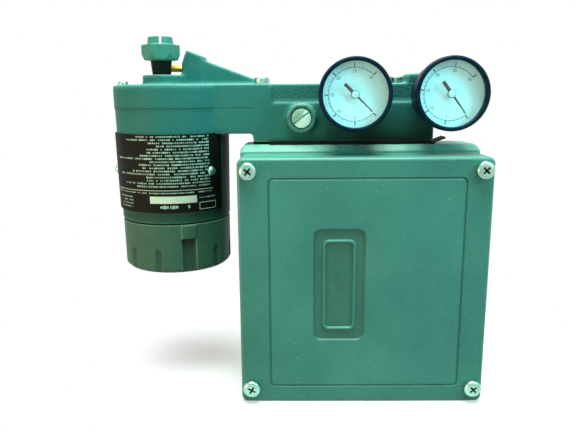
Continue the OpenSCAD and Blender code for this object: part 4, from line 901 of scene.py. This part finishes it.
for side, (x, _) in SIDES.items():
    at = (x, GAUGE_FRONT, GAUGE_Z)
    keep("bezel_" + side, painted(lathe(BEZEL, at), FINISHES["black_enamel"]), "case", "black_enamel",
         "gauge_bezel_" + side)
    keep("gauge_cup_" + side, painted(lathe(CUP, at), FINISHES["black_enamel"]), "case", "black_enamel",
         "gauge_case_" + side)
    keep("gauge_pane_" + side, painted(lathe(PANE, at), window_glass), "case", "clear_window",
         "gauge_window_" + side)

# %% [markdown]
# The scale is a thin arc with a long tick at each number and short ones between.
# Ticks repeat by a rule, so one Geometry Nodes tree lays both kinds and the arc.

# %% Geometry Nodes tree for a dial's scale
scale_tree, taken, given = open_group(
    "dial_scale", "GeometryNodeTree",
    [("Points", "Geometry", None), ("Count", "Int", 7), ("Start", "Float", 0.0), ("Sweep", "Float", -4.712),
     ("Inner", "Float", 0.014), ("Outer", "Float", 0.016), ("Width", "Float", 0.0004),
     ("Thickness", "Float", 0.00006), ("Centre", "Vector", None), ("Finish", "Material", None)],
    [("Scale", "Geometry")])
size = taken.outputs
line = add(scale_tree, "GeometryNodeMeshLine", {"Count": size["Count"]})
number = add(scale_tree, "GeometryNodeInputIndex").outputs[0]
part = calc(scale_tree, "DIVIDE", number, calc(scale_tree, "SUBTRACT", size["Count"], 1.0))
angle = calc(scale_tree, "ADD", calc(scale_tree, "MULTIPLY", part, size["Sweep"]), size["Start"])
middle = calc(scale_tree, "MULTIPLY", calc(scale_tree, "ADD", size["Inner"], size["Outer"]), 0.5)
length = calc(scale_tree, "SUBTRACT", size["Outer"], size["Inner"])
out_x = calc(scale_tree, "MULTIPLY", calc(scale_tree, "COSINE", angle), middle)
out_z = calc(scale_tree, "MULTIPLY", calc(scale_tree, "SINE", angle), middle)
around = add(scale_tree, "ShaderNodeCombineXYZ", {"X": out_x, "Z": out_z})
spot = add(scale_tree, "ShaderNodeVectorMath", {0: around.outputs[0], 1: size["Centre"]}, operation="ADD")
line = add(scale_tree, "GeometryNodeSetPosition", {"Geometry": line.outputs[0], "Position": spot.outputs[0]})
lean = add(scale_tree, "ShaderNodeCombineXYZ", {"Y": calc(scale_tree, "MULTIPLY", angle, -1.0)})
bar_size = add(scale_tree, "ShaderNodeCombineXYZ",
               {"X": length, "Y": size["Thickness"], "Z": size["Width"]})
bar = add(scale_tree, "GeometryNodeMeshCube", {"Size": bar_size.outputs[0]})
ticks = add(scale_tree, "GeometryNodeInstanceOnPoints",
            {"Points": line.outputs[0], "Instance": bar.outputs[0], "Rotation": lean.outputs[0]})
arc = add(scale_tree, "GeometryNodeCurveArc", {"Resolution": 90, "Radius": size["Inner"],
                                               "Start Angle": size["Start"], "Sweep Angle": size["Sweep"]})
strip = add(scale_tree, "GeometryNodeCurvePrimitiveQuadrilateral",
            {"Width": calc(scale_tree, "MULTIPLY", size["Width"], 0.4), "Height": size["Thickness"]})
ring = add(scale_tree, "GeometryNodeCurveToMesh",
           {"Curve": arc.outputs[0], "Profile Curve": strip.outputs[0], "Fill Caps": True})
ring = add(scale_tree, "GeometryNodeTransform", {"Geometry": ring.outputs[0], "Translation": size["Centre"],
                                                 "Rotation": (math.pi / 2, 0.0, 0.0)})
drawn = add(scale_tree, "GeometryNodeJoinGeometry")
scale_tree.links.new(ticks.outputs[0], drawn.inputs[0])
scale_tree.links.new(ring.outputs[0], drawn.inputs[0])
flat = add(scale_tree, "GeometryNodeRealizeInstances", {"Geometry": drawn.outputs[0]})
inked = add(scale_tree, "GeometryNodeSetMaterial", {"Geometry": flat.outputs[0], "Material": size["Finish"]})
scale_tree.links.new(inked.outputs[0], given.inputs["Scale"])
print("tree:", scale_tree.name)

# %% [markdown]
# The numbers go from 0 to 30. They are text, made a mesh and laid flat on the dial.
# Each hand keeps its own solid and gets a pale hub button.

# %% Dial scales, numbers and hub buttons
DIAL_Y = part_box("gauge_dial_left")[0].y / MM - 0.05


def numeral(text, height, x, z):
    """A number as a thin mesh that faces the front of the dial."""
    written = bpy.data.curves.new("numeral", "FONT")
    written.body, written.size = text, height * MM
    written.align_x, written.align_y = "CENTER", "CENTER"
    written.extrude, written.resolution_u = 0.02 * MM, 3
    holder = bpy.data.objects.new("numeral", written)
    scene.collection.objects.link(holder)
    mesh = evaluated(holder)
    mesh.transform(Matrix.Translation(Vector((x, DIAL_Y, z)) * MM) @ Matrix.Rotation(math.pi / 2, 4, "X"))
    return mesh


HUB = [(0.0, -0.75), (0.55, -0.75), (0.75, -0.6), (0.9, -0.55), (1.6, -0.55), (1.95, -0.45), (2.1, -0.2),
       (2.1, 0.0), (0.0, 0.0)]
# Count, inner radius, outer radius and width of the long and the short ticks
TICKS = ((7, 15.0, 17.4, 0.7), (31, 15.0, 15.9, 0.25))
SWEEP, NUMERALS, NUMERAL_H, NUMERAL_R = 270.0, 7, 2.5, 13.0
for side, (x, zero) in SIDES.items():
    marks = []
    for count, inner, outer, width in TICKS:
        marks.append(grow("scale", [(0, 0, 0)], scale_tree, {
            "Count": count, "Start": math.radians(zero), "Sweep": math.radians(-SWEEP), "Inner": inner * MM,
            "Outer": outer * MM, "Width": width * MM, "Thickness": 0.06 * MM,
            "Centre": tuple(Vector((x, DIAL_Y, GAUGE_Z)) * MM), "Finish": dial_print}))
    for index in range(NUMERALS):
        a = math.radians(zero) - math.radians(SWEEP / (NUMERALS - 1) * index)
        marks.append(numeral(str(5 * index), NUMERAL_H, x + NUMERAL_R * math.cos(a),
                             GAUGE_Z + NUMERAL_R * math.sin(a)))
    keep("scale_" + side, painted(join(marks[0], marks[1:]), dial_print), "case", "dial_white")
    hand_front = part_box("gauge_pointer_" + side)[0].y / MM
    keep("hub_" + side, painted(lathe(HUB, (x, hand_front, GAUGE_Z), steps=40), hub_enamel), side + "_hand",
         "dial_white")

# %% [markdown]
# The black plate on the can has close rows of short bars, of random length with gaps
# between. Geometry Nodes lay them out flat and then wrap them round the cone of the can.

# %% Geometry Nodes tree for the ruled bars on the plate
CAN_Z, CAN_TOP_Z, CAN_R, CAN_TOP_R = 32.0, 103.4, 35.75, 36.85
CAN_RISE = (CAN_TOP_R - CAN_R) / (CAN_TOP_Z - CAN_Z)
PLATE_T, PLATE_MID, PRINT_GAP = 1.2, math.radians(-102.0), 0.02

bars_tree, taken, given = open_group(
    "plate_bars", "GeometryNodeTree",
    [("Points", "Geometry", None), ("Columns", "Int", 66), ("Rows", "Int", 17), ("Pitch", "Float", 0.00125),
     ("Row Pitch", "Float", 0.00186), ("Bar Height", "Float", 0.00115), ("Thickness", "Float", 0.00004),
     ("Left", "Float", -0.034), ("Top", "Float", 0.0855), ("Ragged", "Float", 0.03), ("Gaps", "Float", 0.12),
     ("Seed", "Int", 11), ("Finish", "Material", None)], [("Bars", "Geometry")])
size = taken.outputs
cells = calc(bars_tree, "MULTIPLY", size["Columns"], size["Rows"])
spots = add(bars_tree, "GeometryNodeMeshLine", {"Count": cells})
number = add(bars_tree, "GeometryNodeInputIndex").outputs[0]
rank = calc(bars_tree, "FLOOR", calc(bars_tree, "DIVIDE", number, size["Columns"]))
column = calc(bars_tree, "MODULO", number, size["Columns"])
across = calc(bars_tree, "MULTIPLY_ADD", column, size["Pitch"], size["Left"])
height = calc(bars_tree, "SUBTRACT", size["Top"], calc(bars_tree, "MULTIPLY", rank, size["Row Pitch"]))
spot = add(bars_tree, "ShaderNodeCombineXYZ", {"X": across, "Z": height})
spots = add(bars_tree, "GeometryNodeSetPosition", {"Geometry": spots.outputs[0], "Position": spot.outputs[0]})
indent = add(bars_tree, "FunctionNodeRandomValue",
             {2: 0.0, 3: size["Ragged"], "ID": rank, "Seed": size["Seed"]}, data_type="FLOAT")
before = calc(bars_tree, "LESS_THAN", across, calc(bars_tree, "ADD", size["Left"], indent.outputs[1]))
chance = add(bars_tree, "FunctionNodeRandomValue", {2: 0.0, 3: 1.0, "Seed": size["Seed"]}, data_type="FLOAT")
drop = calc(bars_tree, "MAXIMUM", before, calc(bars_tree, "LESS_THAN", chance.outputs[1], size["Gaps"]))
spots = add(bars_tree, "GeometryNodeDeleteGeometry", {"Geometry": spots.outputs[0], "Selection": drop})
bar_size = add(bars_tree, "ShaderNodeCombineXYZ",
               {"X": size["Pitch"], "Y": size["Thickness"], "Z": size["Bar Height"]})
bar = add(bars_tree, "GeometryNodeMeshCube", {"Size": bar_size.outputs[0]})
stretch = add(bars_tree, "FunctionNodeRandomValue",
              {0: (0.35, 1.0, 0.6), 1: (0.95, 1.0, 1.0), "Seed": size["Seed"]}, data_type="FLOAT_VECTOR")
bars = add(bars_tree, "GeometryNodeInstanceOnPoints",
           {"Points": spots.outputs[0], "Instance": bar.outputs[0], "Scale": stretch.outputs[0]})
bars = add(bars_tree, "GeometryNodeRealizeInstances", {"Geometry": bars.outputs[0]})
here = add(bars_tree, "ShaderNodeSeparateXYZ", {0: add(bars_tree, "GeometryNodeInputPosition").outputs[0]})
lift = calc(bars_tree, "SUBTRACT", here.outputs["Z"], CAN_Z * MM)
cone = calc(bars_tree, "MULTIPLY_ADD", lift, CAN_RISE, (CAN_R + PLATE_T + PRINT_GAP) * MM)
reach = calc(bars_tree, "SUBTRACT", cone, here.outputs["Y"])
angle = calc(bars_tree, "ADD", calc(bars_tree, "DIVIDE", here.outputs["X"], cone), PLATE_MID)
wrap_x = calc(bars_tree, "MULTIPLY_ADD", calc(bars_tree, "COSINE", angle), reach, CAN_X * MM)
wrap_y = calc(bars_tree, "MULTIPLY_ADD", calc(bars_tree, "SINE", angle), reach, CAN_Y * MM)
wrapped = add(bars_tree, "ShaderNodeCombineXYZ", {"X": wrap_x, "Y": wrap_y, "Z": here.outputs["Z"]})
bars = add(bars_tree, "GeometryNodeSetPosition",
           {"Geometry": bars.outputs[0], "Position": wrapped.outputs[0]})
inked = add(bars_tree, "GeometryNodeSetMaterial", {"Geometry": bars.outputs[0], "Material": size["Finish"]})
bars_tree.links.new(inked.outputs[0], given.inputs["Bars"])
print("tree:", bars_tree.name)

# %% [markdown]
# The bars stand in blocks of different size. Each line of the table is one block, which
# the tree lays by itself with a seed of its own, and all blocks become one mesh.

# %% Blocks of bars on the plate
PRINT_ROWS = (
    # Columns, rows, pitch, row pitch, bar height, left, top, ragged
    (58, 17, 1.25, 1.91, 1.10, -34.0, 86.7, 40.0),
    (58, 1, 1.25, 1.90, 0.90, -33.0, 52.0, 0.0),
    (10, 1, 1.90, 1.00, 2.20, 5.5, 43.2, 0.0),
    (10, 1, 1.20, 1.00, 0.90, 30.0, 48.4, 0.0),
    (13, 4, 1.20, 2.10, 0.90, -30.0, 49.0, 8.0),
)
FIRST_SEED = 11
rows_made = []
for seed, (columns, rows, pitch, row_pitch, tall, left, top, ragged) in enumerate(PRINT_ROWS, FIRST_SEED):
    rows_made.append(grow("plate_bars", [(0, 0, 0)], bars_tree, {
        "Columns": columns, "Rows": rows, "Pitch": pitch * MM, "Row Pitch": row_pitch * MM,
        "Bar Height": tall * MM, "Left": left * MM, "Top": top * MM, "Ragged": ragged * MM, "Seed": seed,
        "Finish": plate_print}))
keep("plate_bars", painted(join(rows_made[0], rows_made[1:]), plate_print), "case", "plate_black")

# %% [markdown]
# Below the rows the plate has a thin rule, a pale field and a small frame. All are thin
# strips bent round the same cone.

# %% Rule, field and frame
def curved_strip(bm, left, right, low, high, lift, steps=24):
    """A thin closed strip on the can, between two arc lengths and two heights."""
    rows = []
    for i in range(steps + 1):
        along = left + (right - left) * i / steps
        row = []
        for z, out in ((low, 0.0), (high, 0.0), (high, lift), (low, lift)):
            r = CAN_R + CAN_RISE * (z - CAN_Z) + PLATE_T + 0.005 + out
            a = PLATE_MID + along / r
            row.append(bm.verts.new(Vector((CAN_X + r * math.cos(a), CAN_Y + r * math.sin(a), z)) * MM))
        rows.append(row)
    for here, there in zip(rows, rows[1:]):
        for k in range(4):
            bm.faces.new((here[k], here[(k + 1) % 4], there[(k + 1) % 4], there[k]))
    bm.faces.new(rows[0])
    bm.faces.new(rows[-1])


# Left, right, low and high end of each strip
STRIPS = ((-34.0, 40.0, 53.5, 53.8), (-1.8, 27.8, 45.5, 50.0), (29.4, 41.8, 40.8, 41.1),
          (29.4, 41.8, 45.1, 45.4), (29.4, 29.7, 41.1, 45.1), (41.5, 41.8, 41.1, 45.1))
STRIP_T = 0.05
fields = bmesh.new()
for left, right, low, high in STRIPS:
    curved_strip(fields, left, right, low, high, STRIP_T)
bmesh.ops.recalc_face_normals(fields, faces=fields.faces)
field_mesh = bpy.data.meshes.new("plate_fields")
fields.to_mesh(field_mesh)
fields.free()
keep("plate_fields", painted(shade(field_mesh), plate_field), "case", "plate_black")

# %% [markdown]
# Two drive screws pin the plate to the can. They have plain domed heads, so the tree
# without a recess makes them, each turned to look straight out from the can's axis.

# %% Drive screws on the plate
drive_low, drive_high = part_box("nameplate_screws")
DRIVE_Z = (drive_low.z + drive_high.z) / 2 / MM
DRIVE_TURNS = (-72.0, 48.0)
drive_r = CAN_R + CAN_RISE * (DRIVE_Z - CAN_Z) + PLATE_T
domes = []
for turn in DRIVE_TURNS:
    out = math.radians(turn - 90)
    spot = (CAN_X + drive_r * math.cos(out), CAN_Y + drive_r * math.sin(out), DRIVE_Z)
    domes.append(grow("drive_heads", [spot], drive_screws, {
        "Head Radius": 2.9 * MM, "Head Height": 1.5 * MM, "Facing": (0.0, math.pi / 2, out),
        "Finish": FINISHES["zinc_plate"], "Recess Finish": dark_recess_zinc}))
drive_heads = shade(join(domes[0], domes[1:]))
keep("drive_heads", painted(drive_heads, FINISHES["zinc_plate"]), "case", "zinc_plate", "nameplate_screws")

# %% [markdown]
# Under the vent's hexagon a black pipe thread shows. It is turned as a stack of fine
# ridges, because at this size a helix and a stack of rings can't be told apart.

# %% Vent thread
VENT_X, VENT_Y, VENT_Z, NECK_H = -125.6, -21.0, 124.2, 9.1
RIDGES, THREAD_R, TAPER, BORE_R, THREAD_LOW = 9, 5.75, 0.9, 4.0, 0.05
step = (NECK_H - 0.3) / RIDGES
thread = [(BORE_R, THREAD_LOW)]
for i in range(RIDGES):
    low = THREAD_LOW + step * i
    r = THREAD_R + TAPER * low / NECK_H
    thread += [(r - 0.1, low), (r + 0.25, low + 0.4 * step), (r + 0.25, low + 0.6 * step),
               (r - 0.1, low + step)]
thread.append((BORE_R, NECK_H - 0.25))
vent_thread = lathe(thread, (VENT_X, VENT_Y, VENT_Z), axis="Z", steps=72)
keep("vent_thread", painted(vent_thread, FINISHES["rubber_black"]), "case", "black_enamel")

# %% [markdown]
# The studio is plain: a broad soft lamp overhead, a key from the upper right that is
# a little cool, and a weak warm one from the left. The world and the floor look white
# to the camera, to mirrors and to glass, but throw less light back on the object.

# %% Light
def soft_lamp(name, place, aim, width, watts, colour):
    """A square lamp that faces a point."""
    lamp = bpy.data.lights.new(name, "AREA")
    lamp.size, lamp.energy, lamp.color = width, watts, colour
    holder = bpy.data.objects.new(name, lamp)
    scene.collection.objects.link(holder)
    holder.location = place
    holder.rotation_euler = (Vector(aim) - Vector(place)).to_track_quat("-Z", "Y").to_euler()


soft_lamp("overhead", (-0.05, -0.16, 1.0), (-0.03, -0.03, 0.05), 0.6, 24.0, (0.85, 1.0, 0.95))
soft_lamp("key", (0.5, -0.42, 0.4), (0.0, -0.06, 0.02), 0.25, 3.0, (0.42, 0.96, 1.0))
soft_lamp("fill", (-0.5, -0.36, -0.03), (-0.04, -0.05, 0.0), 0.3, 2.4, (1.0, 0.62, 0.28))
world = bpy.data.worlds.new("studio")
scene.world = world
world.use_nodes = True
tree = world.node_tree


def seen_directly(tree):
    """1 for rays from the camera, from mirrors and through glass."""
    ray = add(tree, "ShaderNodeLightPath").outputs
    mirrored = calc(tree, "MAXIMUM", ray["Is Camera Ray"], ray["Is Glossy Ray"])
    return calc(tree, "MAXIMUM", mirrored, ray["Is Transmission Ray"])


strength = ramp(tree, seen_directly(tree), 0.0, 1.0, 0.2, 1.0)
tree.links.new(strength, tree.nodes["Background"].inputs["Strength"])
tree.nodes["Background"].inputs["Color"].default_value = (1, 1, 1, 1)
scene.view_settings.view_transform = "Standard"
print("lamps:", [lamp.name for lamp in bpy.data.lights])

# %% [markdown]
# The floor is a sheet of white paper. Near the case it takes the object's shadow, and
# further out it glows evenly, so that the picture ends in plain white on every side.

# %% Floor
FLOOR_HALF, SHADOW_END, GLOW_START = 20, 0.07, 0.2
floor_z = cad_box[0].z
floor_mesh = bpy.data.meshes.new("floor")
corners = [(x * FLOOR_HALF, y * FLOOR_HALF, floor_z) for x, y in ((-1, -1), (1, -1), (1, 1), (-1, 1))]
floor_mesh.from_pydata(corners, [], [(0, 1, 2, 3)])
floor = bpy.data.objects.new("floor", floor_mesh)
scene.collection.objects.link(floor)
floor_paper, tree, shader, place = start_material("floor_paper")
direct = seen_directly(tree)
tint = blend_colours(tree, direct, (0.3, 0.3, 0.3, 1), (0.97, 0.97, 0.97, 1))
tree.links.new(tint, shader.inputs["Base Color"])
shader.inputs["Roughness"].default_value = 0.9
shader.inputs["Specular IOR Level"].default_value = 0.0
distance = add(tree, "ShaderNodeVectorMath", {0: place}, operation="LENGTH").outputs["Value"]
far = add(tree, "ShaderNodeMapRange", {"Value": distance, 1: SHADOW_END, 2: GLOW_START},
          interpolation_type="SMOOTHSTEP")
bright = calc(tree, "MULTIPLY", far.outputs[0], direct)
sheet = add(tree, "ShaderNodeEmission", {"Color": (1, 1, 1, 1), "Strength": 1.0})
paper = add(tree, "ShaderNodeMixShader", {0: bright, 1: shader.outputs[0], 2: sheet.outputs[0]})
tree.links.new(paper.outputs[0], tree.nodes["Material Output"].inputs["Surface"])
floor_mesh.materials.append(floor_paper)
print("floor at", round(floor_z, 4))

# %% [markdown]
# The dressed part is meant to fill the same box as the solids. The box of the solids
# is printed.

print("CAD box  ", [[round(v, 4) for v in corner] for corner in cad_box])
